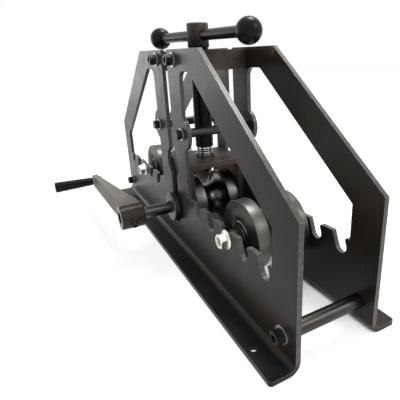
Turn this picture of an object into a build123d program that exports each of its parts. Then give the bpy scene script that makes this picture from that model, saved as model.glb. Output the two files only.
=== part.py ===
from build123d import *
import os
from math import atan2, cos, hypot, radians, sin, tan

# A hand-cranked three-roller tube bender, in millimetres. Two bent side plates stand on the bench and
# carry two idle dies in slanted notches. A screw through a nut block pushes a yoke down between the
# plates, and the yoke carries the driven die on the crank's shaft. X runs along the machine, the crank
# is on the -Y side, Z is up, and the origin is on the bench at the centre of the four foot holes.

# ---- clearances ----
BORE_CLEARANCE = 0.05      # radial, a fixed or running piece in its bore
HOLE_CLEARANCE = 0.5       # radial, a bolt through a plate
SIDE_PLAY = 0.1            # along an axle, beside a thrust washer
SLOT_PLAY = 0.3            # each side of the guide bush in the plates' slot
KEY_PLAY = 0.05
FACE_GAP = 0.05            # between faces that slide on each other
RUN_GAP = 0.3              # between faces that turn past each other

# ---- dies ----
DIE_RADIUS = 47.0
DIE_WIDTH = 76.0
GROOVE_RADIUS = 20.0       # a half-round groove, centred on the tread
DIE_CHAMFER = 1.0

# ---- side plates ----
LENGTH = 660.0
PLATE_HEIGHT = 324.0
PLATE_THICKNESS = 6.0
KNEE_Z = 172.0
TOP_HALF_WIDTH = 128.0
RIM = 43.5                 # width of the frame along the slopes and the ends
TOP_BAND = 29.0
TOOTH_Z = 104.0            # floor of the windows and low side of the teeth
TOOTH_SLOPE = 3.0          # degrees, the teeth's tops rising away from the middle
TOOTH_CORNER_RADIUS = 3.5  # on the teeth's low side only
SLOT_HALF_WIDTH = 12.5
SLOT_FLOOR_Z = 44.0
KEYHOLE_Z = 150.0
UPRIGHT_HALF_WIDTH = 58.0
WINDOW_CORNER_RADIUS = 14.0
SLOPE_CORNER_RADIUS = 8.0
SMALL_CORNER_RADIUS = 2.5
LOBE_RADIUS = 25.0
FOOT_REACH = 32.0
FOOT_BEND_RADIUS = 8.0
FOOT_CORNER_RADIUS = 4.0
FOOT_HOLE_RADIUS = 4.5
FOOT_HOLE_INSET = 48.0     # from the plate's end
FOOT_HOLE_EDGE = 10.0      # from the foot's long edge

# ---- notches for the idle dies ----
NOTCH_COUNT = 5
NOTCH_RADIUS = 9.0
NOTCH_Z = 91.0
NOTCH_LEAN = 22.0          # degrees from upright, the mouth nearer the middle
FIRST_NOTCH_X = 95.0
LAST_NOTCH_INSET = 13.5    # from the end of the window
NOTCH_IN_USE = 3
AXLE_DROP = 0.2            # the axle hangs this much under the notch's centre

# ---- cross pieces ----
MID_ROD_X = 52.0
MID_ROD_Z = 205.0
MID_ROD_RADIUS = 7.0
END_ROD_INSET = 24.0
END_ROD_Z = 33.0
END_ROD_RADIUS = 8.75
BLOCK_HALF_LENGTH = 55.0
BLOCK_HEIGHT = 28.5
BLOCK_TOP_DROP = 2.5       # under the plates' top edge
BLOCK_BOLT_X = 38.0
BLOCK_BOLT_DROP = 14.0     # under the plates' top edge

# ---- fasteners: shank radius, head radius or width across flats, head height ----
WASHER_THICKNESS = 2.0
BLOCK_SHANK_RADIUS = 5.0
BLOCK_HEAD_RADIUS = 8.0
BLOCK_HEAD_HEIGHT = 10.0
BLOCK_SOCKET_ACROSS = 8.0
BLOCK_BOLT_REACH = 28.0
BLOCK_WASHER_RADIUS = 10.5
MID_SHANK_RADIUS = 4.0
MID_HEAD_ACROSS = 13.0
MID_HEAD_HEIGHT = 8.0
MID_WASHER_RADIUS = 9.5
MID_BOLT_REACH = 28.0
END_SHANK_RADIUS = 5.0
END_HEAD_RADIUS = 8.0
END_HEAD_HEIGHT = 10.0
END_SOCKET_ACROSS = 8.0
END_WASHER_RADIUS = 11.0
END_BOLT_REACH = 30.0
SOCKET_DEPTH = 5.0
TAPPED_EXTRA = 4.0         # a tapped hole is deeper than its bolt by this

# ---- yoke ----
YOKE_PLATE_THICKNESS = 10.0
CHEEK_THICKNESS = 10.0
YOKE_SIDE_GAP = 2.0        # between a cheek and a side plate
YOKE_ROD_GAP = 1.0         # between the yoke's ends and the middle tie rods
CHEEK_SKIRT = 25.5         # below the shaft
WELD_LEG = 4.0

# ---- drive shaft, guide bushes and crank ----
SHAFT_RADIUS = 10.0
SHAFT_Z = 73.5
SHAFT_REAR_REACH = 20.0    # past the rear plate
THRUST_WASHER_THICKNESS = 1.8
THRUST_WASHER_RADIUS = 19.0
KEY_WIDTH = 6.0
KEY_HEIGHT = 6.0
KEY_LENGTH = 40.0
KEY_SEAT = 6.5             # from the shaft's axis to the key's underside
FLANGE_RADIUS = 24.5
FLANGE_THICKNESS = 10.0
FLANGE_GAP = 2.0           # between the guide bush's flange and the plate
CLIP_THICKNESS = 1.5
CLIP_DEPTH = 1.0
CLIP_RADIUS = 14.0
CLIP_GAP_WIDTH = 8.0
HUB_RADIUS = 20.0
HUB_FRONT_REACH = 96.0     # from the front plate's face to the hub's open end
HUB_LENGTH = 37.0
SHAFT_END_RECESS = 6.0
HUB_RING_WIDTH = 1.6
HUB_RING_RADIUS = 12.4
SET_SCREW_RADIUS = 4.0
SET_SCREW_LENGTH = 8.0
SET_SCREW_ANGLE = -25.0    # degrees about the shaft, from +X towards +Z
SET_SCREW_SOCKET = 4.0
ARM_LENGTH = 250.0
ARM_ANGLE = 182.1          # degrees about the shaft, from +X towards +Z
ARM_END_RADIUS = 13.0
ARM_ROOT_WIDTH = 28.0
ARM_END_WIDTH = 10.0
ARM_FRONT_OFFSET = 1.0     # the arm's outer end stands this far in front of the hub's open end
ARM_ROOT_RADIUS = 19.0

# ---- grip ----
GRIP_LENGTH = 74.0
GRIP_INNER_RADIUS = 8.25
GRIP_OUTER_RADIUS = 10.75
GRIP_EDGE = 2.0
SPINDLE_RADIUS = 5.0
SPINDLE_HEAD_RADIUS = 7.5
SPINDLE_HEAD_HEIGHT = 3.0
SPINDLE_SLOT_WIDTH = 1.6
GRIP_RECESS = 4.0
COLLAR_THICKNESS = 1.5
COLLAR_RADIUS = 8.0
SPINDLE_NUT_ACROSS = 16.0
SPINDLE_NUT_HEIGHT = 6.0

# ---- press screw and cross bar ----
SCREW_RADIUS = 15.0
SCREW_HEAD_EXTRA = 1.5     # the head's radius over the thread's
SCREW_HEAD_HEIGHT = 35.0
SCREW_HEAD_GAP = 4.5       # between the nut block and the head, at the lowest setting
HEAD_CHAMFER = 1.5
NECK_RADIUS = 7.5
STUD_RADIUS = 6.0
STUD_END_GAP = 4.5         # over the driven die
STUD_NUT_LIFT = 4.0
STUD_NUT_HEIGHT = 10.5
STUD_NUT_ACROSS = 19.0
STUD_WASHER_RADIUS = 12.0
STUD_WASHER_THICKNESS = 2.2
SEAT_RADIUS = 15.5
SEAT_HEIGHT = 6.0
THRUST_RACE_RADIUS = 13.2
THRUST_RACE_THICKNESS = 3.2
THRUST_BALL_RADIUS = 2.2
THRUST_BALL_COUNT = 9
THRUST_PITCH_RADIUS = 10.2
CAGE_THICKNESS = 1.7
CAGE_INSET = 0.4
BAR_RADIUS = 8.0
BAR_DROP = 17.7            # from the head's top to the bar's axis
BAR_ANGLE = 10.5           # degrees from +X towards +Y
BAR_LEFT = 117.0           # from the screw's axis to each ball's centre
BAR_RIGHT = 119.0
BALL_RADIUS = 18.0
BALL_FLAT = 15.5           # from the ball's centre to its spot face
BAR_STUB_RADIUS = 5.0
BAR_STUB_LENGTH = 17.0

# ---- idle dies' bearings, axles and nuts ----
BEARING_RADIUS = 20.0
BEARING_WIDTH = 12.0
OUTER_RING_INSIDE = 17.0
INNER_RING_OUTSIDE = 11.5
BEARING_BALL_RADIUS = 3.4
BEARING_PITCH_RADIUS = 14.25
BEARING_BALL_COUNT = 8
SHIELD_THICKNESS = 0.5
SHIELD_INSET = 0.8
SHIELD_GAP = 0.4
DIE_CORE_RADIUS = 17.0
AXLE_RADIUS = 8.45
AXLE_STUD_RADIUS = 6.0
AXLE_SHOULDER_INSET = 0.5  # inside the plates' outer faces
AXLE_STUD_REACH = 9.0      # past the plates' outer faces
AXLE_CHAMFER = 1.0
SPACER_RADIUS = 11.0
NUT_FLANGE_RADIUS = 13.0
NUT_FLANGE_THICKNESS = 3.0
NUT_HEIGHT = 12.0
NUT_ACROSS = 18.0

# ---- worked out ----
HALF_LENGTH = LENGTH / 2
CHEEK_INNER_Y = DIE_WIDTH / 2 + THRUST_WASHER_THICKNESS + 2 * SIDE_PLAY
CHEEK_OUTER_Y = CHEEK_INNER_Y + CHEEK_THICKNESS
PLATE_INNER_Y = CHEEK_OUTER_Y + YOKE_SIDE_GAP
PLATE_OUTER_Y = PLATE_INNER_Y + PLATE_THICKNESS
FOOT_EDGE_Y = PLATE_OUTER_Y + FOOT_REACH
FOOT_HOLE_X = HALF_LENGTH - FOOT_HOLE_INSET
FOOT_HOLE_Y = FOOT_EDGE_Y - FOOT_HOLE_EDGE
BEND_OUTER_RADIUS = FOOT_BEND_RADIUS + PLATE_THICKNESS
WINDOW_TOP_Z = PLATE_HEIGHT - TOP_BAND
WINDOW_END_X = HALF_LENGTH - RIM
NOTCH_PITCH = (WINDOW_END_X - LAST_NOTCH_INSET - FIRST_NOTCH_X) / (NOTCH_COUNT - 1)
NOTCH_XS = [FIRST_NOTCH_X + k * NOTCH_PITCH for k in range(NOTCH_COUNT)]
IDLE_DIE_X = NOTCH_XS[NOTCH_IN_USE - 1]
IDLE_DIE_Z = NOTCH_Z - AXLE_DROP
END_ROD_X = HALF_LENGTH - END_ROD_INSET
BLOCK_TOP_Z = PLATE_HEIGHT - BLOCK_TOP_DROP
BLOCK_BOLT_Z = PLATE_HEIGHT - BLOCK_BOLT_DROP
YOKE_HALF_LENGTH = MID_ROD_X - MID_ROD_RADIUS - YOKE_ROD_GAP
BUSH_RADIUS = SLOT_HALF_WIDTH - SLOT_PLAY
FLANGE_INNER_Y = PLATE_OUTER_Y + FLANGE_GAP
FLANGE_OUTER_Y = FLANGE_INNER_Y + FLANGE_THICKNESS
KEYHOLE_RADIUS = FLANGE_RADIUS + HOLE_CLEARANCE
HUB_FRONT_Y = -PLATE_OUTER_Y - HUB_FRONT_REACH
HUB_REAR_Y = HUB_FRONT_Y + HUB_LENGTH
STUD_END_Z = SHAFT_Z + DIE_RADIUS + STUD_END_GAP
STUD_NUT_Z = STUD_END_Z + STUD_NUT_LIFT
STUD_WASHER_Z = STUD_NUT_Z + STUD_NUT_HEIGHT
YOKE_UNDER_Z = STUD_WASHER_Z + STUD_WASHER_THICKNESS + RUN_GAP
YOKE_TOP_Z = YOKE_UNDER_Z + YOKE_PLATE_THICKNESS
SEAT_TOP_Z = YOKE_TOP_Z + SEAT_HEIGHT
THRUST_BALL_Z = SEAT_TOP_Z + THRUST_RACE_THICKNESS + BORE_CLEARANCE + THRUST_BALL_RADIUS
UPPER_RACE_Z = THRUST_BALL_Z + THRUST_BALL_RADIUS + BORE_CLEARANCE
SCREW_SHOULDER_Z = UPPER_RACE_Z + THRUST_RACE_THICKNESS
SCREW_HEAD_RADIUS = SCREW_RADIUS + SCREW_HEAD_EXTRA
SCREW_HEAD_Z = BLOCK_TOP_Z + SCREW_HEAD_GAP
SCREW_TOP_Z = SCREW_HEAD_Z + SCREW_HEAD_HEIGHT
BAR_Z = SCREW_TOP_Z - BAR_DROP
ARM_FRONT_Y = HUB_FRONT_Y - ARM_FRONT_OFFSET
ARM_BACK_Y = ARM_FRONT_Y + ARM_END_WIDTH
GRIP_X = ARM_LENGTH * cos(radians(ARM_ANGLE))
GRIP_Z = SHAFT_Z + ARM_LENGTH * sin(radians(ARM_ANGLE))
GRIP_INNER_Y = ARM_FRONT_Y - COLLAR_THICKNESS - RUN_GAP
GRIP_OUTER_Y = GRIP_INNER_Y - GRIP_LENGTH


# ---- simple shapes ----
def box(x_span, y_span, z_span):
    """A box between two corners, given as three (low, high) pairs."""
    spans = (x_span, y_span, z_span)
    size = [high - low for low, high in spans]
    centre = [(high + low) / 2 for low, high in spans]
    return Pos(*centre) * Box(*size)


def y_cylinder(radius, y_low, y_high, x=0.0, z=0.0):
    """A cylinder along Y."""
    return Pos(x, (y_low + y_high) / 2, z) * Rot(90, 0, 0) * Cylinder(radius, y_high - y_low)


def y_ring(inner, outer, y_low, y_high, x=0.0, z=0.0):
    """A plain ring along Y."""
    return y_cylinder(outer, y_low, y_high, x, z) - y_cylinder(inner, y_low - 1, y_high + 1, x, z)


def z_cylinder(radius, z_low, z_high):
    """A cylinder on the press screw's axis."""
    return Pos(0, 0, (z_low + z_high) / 2) * Cylinder(radius, z_high - z_low)


def z_ring(inner, outer, z_low, z_high):
    """A plain ring on the press screw's axis."""
    return z_cylinder(outer, z_low, z_high) - z_cylinder(inner, z_low - 1, z_high + 1)


def y_prism(sketch, y_low, y_high):
    """A sketch drawn as (x, z), carried along Y."""
    return extrude(Plane((0, y_high, 0), x_dir=(1, 0, 0), z_dir=(0, -1, 0)) * sketch, y_high - y_low)


def polygon(points):
    """A face inside a closed run of straight lines."""
    return make_face(Polyline(*points, close=True))


def turned_y(points, x=0.0, z=0.0):
    """A profile of (radius, y) points turned about an axle along Y."""
    return Pos(x, 0, z) * revolve(polygon(points), Axis.Y)


def turned_z(points):
    """A profile of (radius, z) points turned about the press screw's axis."""
    return revolve(Plane.XZ * polygon(points), Axis.Z)


def hexagon(across):
    """A hexagon by its width across flats."""
    return RegularPolygon(radius=across / 2, side_count=6, major_radius=False)


def both_sides(piece):
    """A piece of the front side and its mirror image at the rear."""
    return [piece, mirror(piece, about=Plane.XZ)]


def group(pieces):
    """Several separate solids as one node."""
    return Compound([solid for piece in pieces for solid in piece.solids()])


# ---- fasteners, under the head at y = 0, with the head towards -Y ----
def cap_screw(shank, head, height, across, reach):
    """A socket cap screw."""
    screw = y_cylinder(shank, 0, reach) + y_cylinder(head, -height, 0)
    return screw - y_prism(hexagon(across), -height - 1, SOCKET_DEPTH - height)


def hex_bolt(shank, across, height, reach):
    """A hexagon bolt."""
    return y_cylinder(shank, 0, reach) + y_prism(hexagon(across), -height, 0)


def at_corners(piece, x, z):
    """Four copies of a fastener: left and right on the front plate, and the same at the rear."""
    seat_y = -PLATE_OUTER_Y - WASHER_THICKNESS
    placed = [Pos(side * x, seat_y, z) * piece for side in (-1, 1)]
    return group([copy for one in placed for copy in both_sides(one)])


def washer(shank, radius):
    """A plain washer, its outer face at y = 0."""
    return y_ring(shank + BORE_CLEARANCE, radius, 0, WASHER_THICKNESS)


def tie_rods(radius, x, z, shank, reach):
    """Two round spacers between the plates, tapped at both ends."""
    depth = reach - WASHER_THICKNESS - PLATE_THICKNESS + TAPPED_EXTRA
    rod = y_cylinder(radius, -PLATE_INNER_Y, PLATE_INNER_Y)
    tapped = y_cylinder(shank + BORE_CLEARANCE, -PLATE_INNER_Y - 1, depth - PLATE_INNER_Y)
    for bore in both_sides(tapped):
        rod -= bore
    return group([Pos(side * x, 0, z) * rod for side in (-1, 1)])


# ---- side plates ----
def window_slope_x(z):
    """X of the windows' sloping edge at height z, one rim inside the plate's own slope."""
    run, rise = HALF_LENGTH - TOP_HALF_WIDTH, PLATE_HEIGHT - KNEE_Z
    across = RIM * hypot(run, rise) / rise
    return HALF_LENGTH - across - (z - KNEE_Z) * run / rise


def window_knee_z():
    """Height at which the windows' sloping edge meets their upright end."""
    run, rise = HALF_LENGTH - TOP_HALF_WIDTH, PLATE_HEIGHT - KNEE_Z
    return KNEE_Z + (window_slope_x(KNEE_Z) - WINDOW_END_X) * rise / run


def notch(x):
    """A slanted open slot with a round floor, for an idle die's axle."""
    run_up = 3 * NOTCH_RADIUS
    slot = Pos(0, run_up / 2) * Rectangle(2 * NOTCH_RADIUS, run_up)
    return Pos(x, NOTCH_Z) * (Rot(0, 0, NOTCH_LEAN) * slot + Circle(NOTCH_RADIUS))


def nearest_corner(face, x, z):
    """The corner of a face nearest to a point."""
    return min(face.vertices(), key=lambda v: hypot(v.X - x, v.Y - z))


def window():
    """The right-hand window: round at the top, with the lobe standing in and the notches in its floor."""
    knee = (WINDOW_END_X, window_knee_z())
    slope_top = (window_slope_x(WINDOW_TOP_Z), WINDOW_TOP_Z)
    upright_top = (UPRIGHT_HALF_WIDTH, WINDOW_TOP_Z)
    opening = polygon([(UPRIGHT_HALF_WIDTH, TOOTH_Z), (WINDOW_END_X, TOOTH_Z), knee, slope_top, upright_top])
    for start, end in zip([UPRIGHT_HALF_WIDTH] + NOTCH_XS, NOTCH_XS + [WINDOW_END_X]):
        rise = (end - start) * tan(radians(TOOTH_SLOPE))
        opening -= polygon([(start, TOOTH_Z), (end, TOOTH_Z), (end, TOOTH_Z + rise)])
    for x in NOTCH_XS:
        opening += notch(x)
    lean = radians(NOTCH_LEAN)
    mouth = NOTCH_RADIUS / cos(lean) - (TOOTH_Z - NOTCH_Z) * tan(lean)
    rounded = [(x + mouth, TOOTH_Z, TOOTH_CORNER_RADIUS) for x in NOTCH_XS]
    rounded.append((*knee, SMALL_CORNER_RADIUS))
    rounded.append((*slope_top, SLOPE_CORNER_RADIUS))
    rounded.append((*upright_top, WINDOW_CORNER_RADIUS))
    for x, z, radius in rounded:
        opening = fillet(nearest_corner(opening, x, z), radius)
    return opening - Pos(MID_ROD_X, MID_ROD_Z) * Circle(LOBE_RADIUS)


def web_face():
    """The upright part of a side plate, as (x, z)."""
    right = [(HALF_LENGTH, BEND_OUTER_RADIUS), (HALF_LENGTH, KNEE_Z), (TOP_HALF_WIDTH, PLATE_HEIGHT)]
    face = polygon(right + [(-x, z) for x, z in reversed(right)])
    slot_floor_centre = SLOT_FLOOR_Z + SLOT_HALF_WIDTH
    slot_height = PLATE_HEIGHT - slot_floor_centre + 1
    face -= Pos(0, slot_floor_centre + slot_height / 2) * Rectangle(2 * SLOT_HALF_WIDTH, slot_height)
    face -= Pos(0, slot_floor_centre) * Circle(SLOT_HALF_WIDTH)
    face -= Pos(0, KEYHOLE_Z) * Circle(KEYHOLE_RADIUS)
    right_window = window()
    face -= right_window
    face -= mirror(right_window, about=Plane.YZ)
    holes = [
        (BLOCK_BOLT_X, BLOCK_BOLT_Z, BLOCK_SHANK_RADIUS),
        (MID_ROD_X, MID_ROD_Z, MID_SHANK_RADIUS),
        (END_ROD_X, END_ROD_Z, END_SHANK_RADIUS),
    ]
    for x, z, shank in holes:
        for side in (-1, 1):
            face -= Pos(side * x, z) * Circle(shank + HOLE_CLEARANCE)
    return face


def foot():
    """The front plate's foot: a quarter bend out of the web and a flat strip along the bench."""
    bend_y = -PLATE_OUTER_Y - FOOT_BEND_RADIUS
    bend = (bend_y, BEND_OUTER_RADIUS)
    outline = [
        CenterArc(bend, FOOT_BEND_RADIUS, 0, -90),
        Line((bend_y, PLATE_THICKNESS), (-FOOT_EDGE_Y, PLATE_THICKNESS)),
        Line((-FOOT_EDGE_Y, PLATE_THICKNESS), (-FOOT_EDGE_Y, 0)),
        Line((-FOOT_EDGE_Y, 0), (bend_y, 0)),
        CenterArc(bend, BEND_OUTER_RADIUS, -90, 90),
        Line((-PLATE_INNER_Y, BEND_OUTER_RADIUS), (-PLATE_OUTER_Y, BEND_OUTER_RADIUS)),
    ]
    section = Plane((-HALF_LENGTH, 0, 0), x_dir=(0, 1, 0), z_dir=(1, 0, 0)) * make_face(outline)
    strip = extrude(section, LENGTH)
    corners = [e for e in strip.edges().filter_by(Axis.Z) if abs(e.center().Y + FOOT_EDGE_Y) < 0.01]
    strip = fillet(corners, FOOT_CORNER_RADIUS)
    for side in (-1, 1):
        strip -= Pos(side * FOOT_HOLE_X, -FOOT_HOLE_Y, 0) * Cylinder(FOOT_HOLE_RADIUS, 3 * PLATE_THICKNESS)
    return strip


def side_plates():
    """The bent plates, front and rear."""
    return both_sides(y_prism(web_face(), -PLATE_OUTER_Y, -PLATE_INNER_Y) + foot())


def nut_block():
    """The block between the plates' tops, with the press screw's thread."""
    block = box(
        (-BLOCK_HALF_LENGTH, BLOCK_HALF_LENGTH),
        (-PLATE_INNER_Y, PLATE_INNER_Y),
        (BLOCK_TOP_Z - BLOCK_HEIGHT, BLOCK_TOP_Z),
    )
    block -= z_cylinder(SCREW_RADIUS + BORE_CLEARANCE, 0, 2 * BLOCK_TOP_Z)
    depth = BLOCK_BOLT_REACH - WASHER_THICKNESS - PLATE_THICKNESS + TAPPED_EXTRA
    tapped = y_cylinder(BLOCK_SHANK_RADIUS + BORE_CLEARANCE, -PLATE_INNER_Y - 1, depth - PLATE_INNER_Y)
    for side in (-1, 1):
        for bore in both_sides(Pos(side * BLOCK_BOLT_X, 0, BLOCK_BOLT_Z) * tapped):
            block -= bore
    return block


# ---- yoke ----
def yoke_plate():
    """The yoke's top, with the hole for the screw's neck."""
    x_span = (-YOKE_HALF_LENGTH, YOKE_HALF_LENGTH)
    plate = box(x_span, (-CHEEK_OUTER_Y, CHEEK_OUTER_Y), (YOKE_UNDER_Z, YOKE_TOP_Z))
    return plate - z_cylinder(NECK_RADIUS + BORE_CLEARANCE, YOKE_UNDER_Z - 1, YOKE_TOP_Z + 1)


def yoke_cheek():
    """The front cheek, bored for the guide bush."""
    x_span = (-YOKE_HALF_LENGTH, YOKE_HALF_LENGTH)
    cheek = box(x_span, (-CHEEK_OUTER_Y, -CHEEK_INNER_Y), (SHAFT_Z - CHEEK_SKIRT, YOKE_UNDER_Z))
    bore = y_cylinder(BUSH_RADIUS + BORE_CLEARANCE, -CHEEK_OUTER_Y - 1, -CHEEK_INNER_Y + 1, 0, SHAFT_Z)
    return cheek - bore


def yoke_weld():
    """The fillet weld in the front inner corner, a three-sided bead along X."""
    section = polygon([
        (-CHEEK_INNER_Y, YOKE_UNDER_Z),
        (-CHEEK_INNER_Y + WELD_LEG, YOKE_UNDER_Z),
        (-CHEEK_INNER_Y, YOKE_UNDER_Z - WELD_LEG),
    ])
    start = Plane((-YOKE_HALF_LENGTH, 0, 0), x_dir=(0, 1, 0), z_dir=(1, 0, 0))
    return extrude(start * section, 2 * YOKE_HALF_LENGTH)


def guide_bush():
    """The front flanged bush: it sits in the cheek, guides the yoke in the slot and carries the shaft."""
    bore = SHAFT_RADIUS + BORE_CLEARANCE
    profile = [
        (bore, -FLANGE_OUTER_Y),
        (FLANGE_RADIUS - DIE_CHAMFER, -FLANGE_OUTER_Y),
        (FLANGE_RADIUS, -FLANGE_OUTER_Y + DIE_CHAMFER),
        (FLANGE_RADIUS, -FLANGE_INNER_Y),
        (BUSH_RADIUS, -FLANGE_INNER_Y),
        (BUSH_RADIUS, -CHEEK_INNER_Y),
        (bore, -CHEEK_INNER_Y),
    ]
    return turned_y(profile, 0, SHAFT_Z)


# ---- dies ----
def die_blank(bore):
    """A grooved roller about the Y axis."""
    half = DIE_WIDTH / 2
    edge = DIE_RADIUS - DIE_CHAMFER
    profile = [
        (bore, -half),
        (edge, -half),
        (DIE_RADIUS, DIE_CHAMFER - half),
        (DIE_RADIUS, half - DIE_CHAMFER),
        (edge, half),
        (bore, half),
    ]
    section = polygon(profile) - Pos(DIE_RADIUS, 0) * Circle(GROOVE_RADIUS)
    return revolve(section, Axis.Y)


def key_block(play):
    """The key's space, grown by a play on every side."""
    return box(
        (-KEY_WIDTH / 2 - play, KEY_WIDTH / 2 + play),
        (-KEY_LENGTH / 2 - play, KEY_LENGTH / 2 + play),
        (SHAFT_Z + KEY_SEAT - play, SHAFT_Z + KEY_SEAT + KEY_HEIGHT + play),
    )


def centre_die():
    """The driven die, keyed to the shaft."""
    keyway = box(
        (-KEY_WIDTH / 2 - KEY_PLAY, KEY_WIDTH / 2 + KEY_PLAY),
        (-DIE_WIDTH / 2 - 1, DIE_WIDTH / 2 + 1),
        (SHAFT_Z, SHAFT_Z + KEY_SEAT + KEY_HEIGHT + KEY_PLAY),
    )
    return Pos(0, 0, SHAFT_Z) * die_blank(SHAFT_RADIUS + BORE_CLEARANCE) - keyway


def thrust_washers():
    """A washer each side of the driven die."""
    y_out = -DIE_WIDTH / 2 - SIDE_PLAY
    y_in = y_out - THRUST_WASHER_THICKNESS
    ring = y_ring(SHAFT_RADIUS + BORE_CLEARANCE, THRUST_WASHER_RADIUS, y_in, y_out, 0, SHAFT_Z)
    return group(both_sides(ring))


def drive_shaft():
    """The shaft from the crank's hub to behind the rear plate, with its keyway and clip groove."""
    rear_y = PLATE_OUTER_Y + SHAFT_REAR_REACH
    edge = SHAFT_RADIUS - DIE_CHAMFER
    groove_y = FLANGE_OUTER_Y + RUN_GAP
    profile = [
        (0, HUB_FRONT_Y + SHAFT_END_RECESS),
        (edge, HUB_FRONT_Y + SHAFT_END_RECESS),
        (SHAFT_RADIUS, HUB_FRONT_Y + SHAFT_END_RECESS + DIE_CHAMFER),
        (SHAFT_RADIUS, groove_y),
        (SHAFT_RADIUS - CLIP_DEPTH, groove_y),
        (SHAFT_RADIUS - CLIP_DEPTH, groove_y + CLIP_THICKNESS),
        (SHAFT_RADIUS, groove_y + CLIP_THICKNESS),
        (SHAFT_RADIUS, rear_y - DIE_CHAMFER),
        (edge, rear_y),
        (0, rear_y),
    ]
    return turned_y(profile, 0, SHAFT_Z) - key_block(KEY_PLAY)


def shaft_clip():
    """The open spring clip behind the rear guide bush."""
    y_low = FLANGE_OUTER_Y + RUN_GAP
    inner = SHAFT_RADIUS - CLIP_DEPTH + BORE_CLEARANCE
    clip = y_ring(inner, CLIP_RADIUS, y_low, y_low + CLIP_THICKNESS, 0, SHAFT_Z)
    half_gap = CLIP_GAP_WIDTH / 2
    gap_z = (SHAFT_Z - 2 * CLIP_RADIUS, SHAFT_Z)
    return clip - box((-half_gap, half_gap), (y_low - 1, y_low + 2 * CLIP_THICKNESS), gap_z)


# ---- crank ----
def arm_side():
    """The arm seen from the front: the straight taper round the hub's circle and the end's circle."""
    swing = Rot(0, 0, ARM_ANGLE)
    lean = atan2(ARM_ROOT_RADIUS - ARM_END_RADIUS, ARM_LENGTH)
    root = [(ARM_ROOT_RADIUS * sin(lean), side * ARM_ROOT_RADIUS * cos(lean)) for side in (1, -1)]
    tip = [
        (ARM_LENGTH + ARM_END_RADIUS * sin(lean), side * ARM_END_RADIUS * cos(lean)) for side in (-1, 1)
    ]
    outline = polygon(root + tip) + Pos(ARM_LENGTH, 0) * Circle(ARM_END_RADIUS) + Circle(ARM_ROOT_RADIUS)
    return Pos(0, SHAFT_Z) * swing * outline


def arm_wedge():
    """The arm seen from above: thick at the hub and thin at the grip."""
    past = ARM_LENGTH + 2 * ARM_END_RADIUS
    root_front_y = HUB_REAR_Y - ARM_ROOT_WIDTH
    plan = polygon([
        (2 * HUB_RADIUS, HUB_REAR_Y),
        (2 * HUB_RADIUS, root_front_y),
        (0, root_front_y),
        (-ARM_LENGTH, ARM_FRONT_Y),
        (-past, ARM_FRONT_Y),
        (-past, ARM_BACK_Y),
        (ARM_END_RADIUS - ARM_LENGTH, ARM_BACK_Y),
        (0, HUB_REAR_Y),
    ])
    return extrude(Pos(0, 0, -SHAFT_Z) * plan, 4 * SHAFT_Z)


def set_screw_axis():
    """A frame on the shaft's axis in the middle of the hub, with Z out along the set screw."""
    angle = radians(SET_SCREW_ANGLE)
    middle = (0, HUB_REAR_Y - HUB_LENGTH / 2, SHAFT_Z)
    return Plane(middle, x_dir=(0, 1, 0), z_dir=(cos(angle), 0, sin(angle)))


def crank_arm():
    """The hub and the tapering arm in one piece, bored for the shaft, the set screw and the spindle."""
    hub_profile = [
        (0, HUB_FRONT_Y),
        (HUB_RADIUS - DIE_CHAMFER, HUB_FRONT_Y),
        (HUB_RADIUS, HUB_FRONT_Y + DIE_CHAMFER),
        (HUB_RADIUS, HUB_REAR_Y - DIE_CHAMFER),
        (HUB_RADIUS - DIE_CHAMFER, HUB_REAR_Y),
        (0, HUB_REAR_Y),
    ]
    arm = y_prism(arm_side(), ARM_FRONT_Y, HUB_REAR_Y) & arm_wedge()
    crank = arm + turned_y(hub_profile, 0, SHAFT_Z)
    crank -= y_cylinder(SHAFT_RADIUS + BORE_CLEARANCE, ARM_FRONT_Y - 1, HUB_REAR_Y + 1, 0, SHAFT_Z)
    crank -= y_cylinder(SPINDLE_RADIUS + BORE_CLEARANCE, ARM_FRONT_Y - 1, HUB_REAR_Y, GRIP_X, GRIP_Z)
    tapped = Pos(0, 0, HUB_RADIUS) * Cylinder(SET_SCREW_RADIUS + BORE_CLEARANCE, 2 * HUB_RADIUS)
    return crank - set_screw_axis() * tapped


def set_screw():
    """The set screw, down on the shaft."""
    base = SHAFT_RADIUS + RUN_GAP
    screw = Pos(0, 0, base + SET_SCREW_LENGTH / 2) * Cylinder(SET_SCREW_RADIUS, SET_SCREW_LENGTH)
    socket = extrude(Pos(0, 0, base + SET_SCREW_LENGTH / 2) * hexagon(SET_SCREW_SOCKET), SET_SCREW_LENGTH)
    return set_screw_axis() * (screw - socket)


def grip_spindle():
    """The grip's pin, with a slotted head at its outer end."""
    head_y = GRIP_OUTER_Y + GRIP_RECESS - SPINDLE_HEAD_HEIGHT - RUN_GAP
    rear_y = ARM_BACK_Y + SPINDLE_NUT_HEIGHT
    pin = y_cylinder(SPINDLE_RADIUS, head_y, rear_y + DIE_CHAMFER, GRIP_X, GRIP_Z)
    pin += y_cylinder(SPINDLE_HEAD_RADIUS, head_y, head_y + SPINDLE_HEAD_HEIGHT, GRIP_X, GRIP_Z)
    slot = box(
        (GRIP_X - 2 * SPINDLE_HEAD_RADIUS, GRIP_X + 2 * SPINDLE_HEAD_RADIUS),
        (head_y - 1, head_y + SPINDLE_SLOT_WIDTH),
        (GRIP_Z - SPINDLE_SLOT_WIDTH / 2, GRIP_Z + SPINDLE_SLOT_WIDTH / 2),
    )
    return pin - slot


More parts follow.
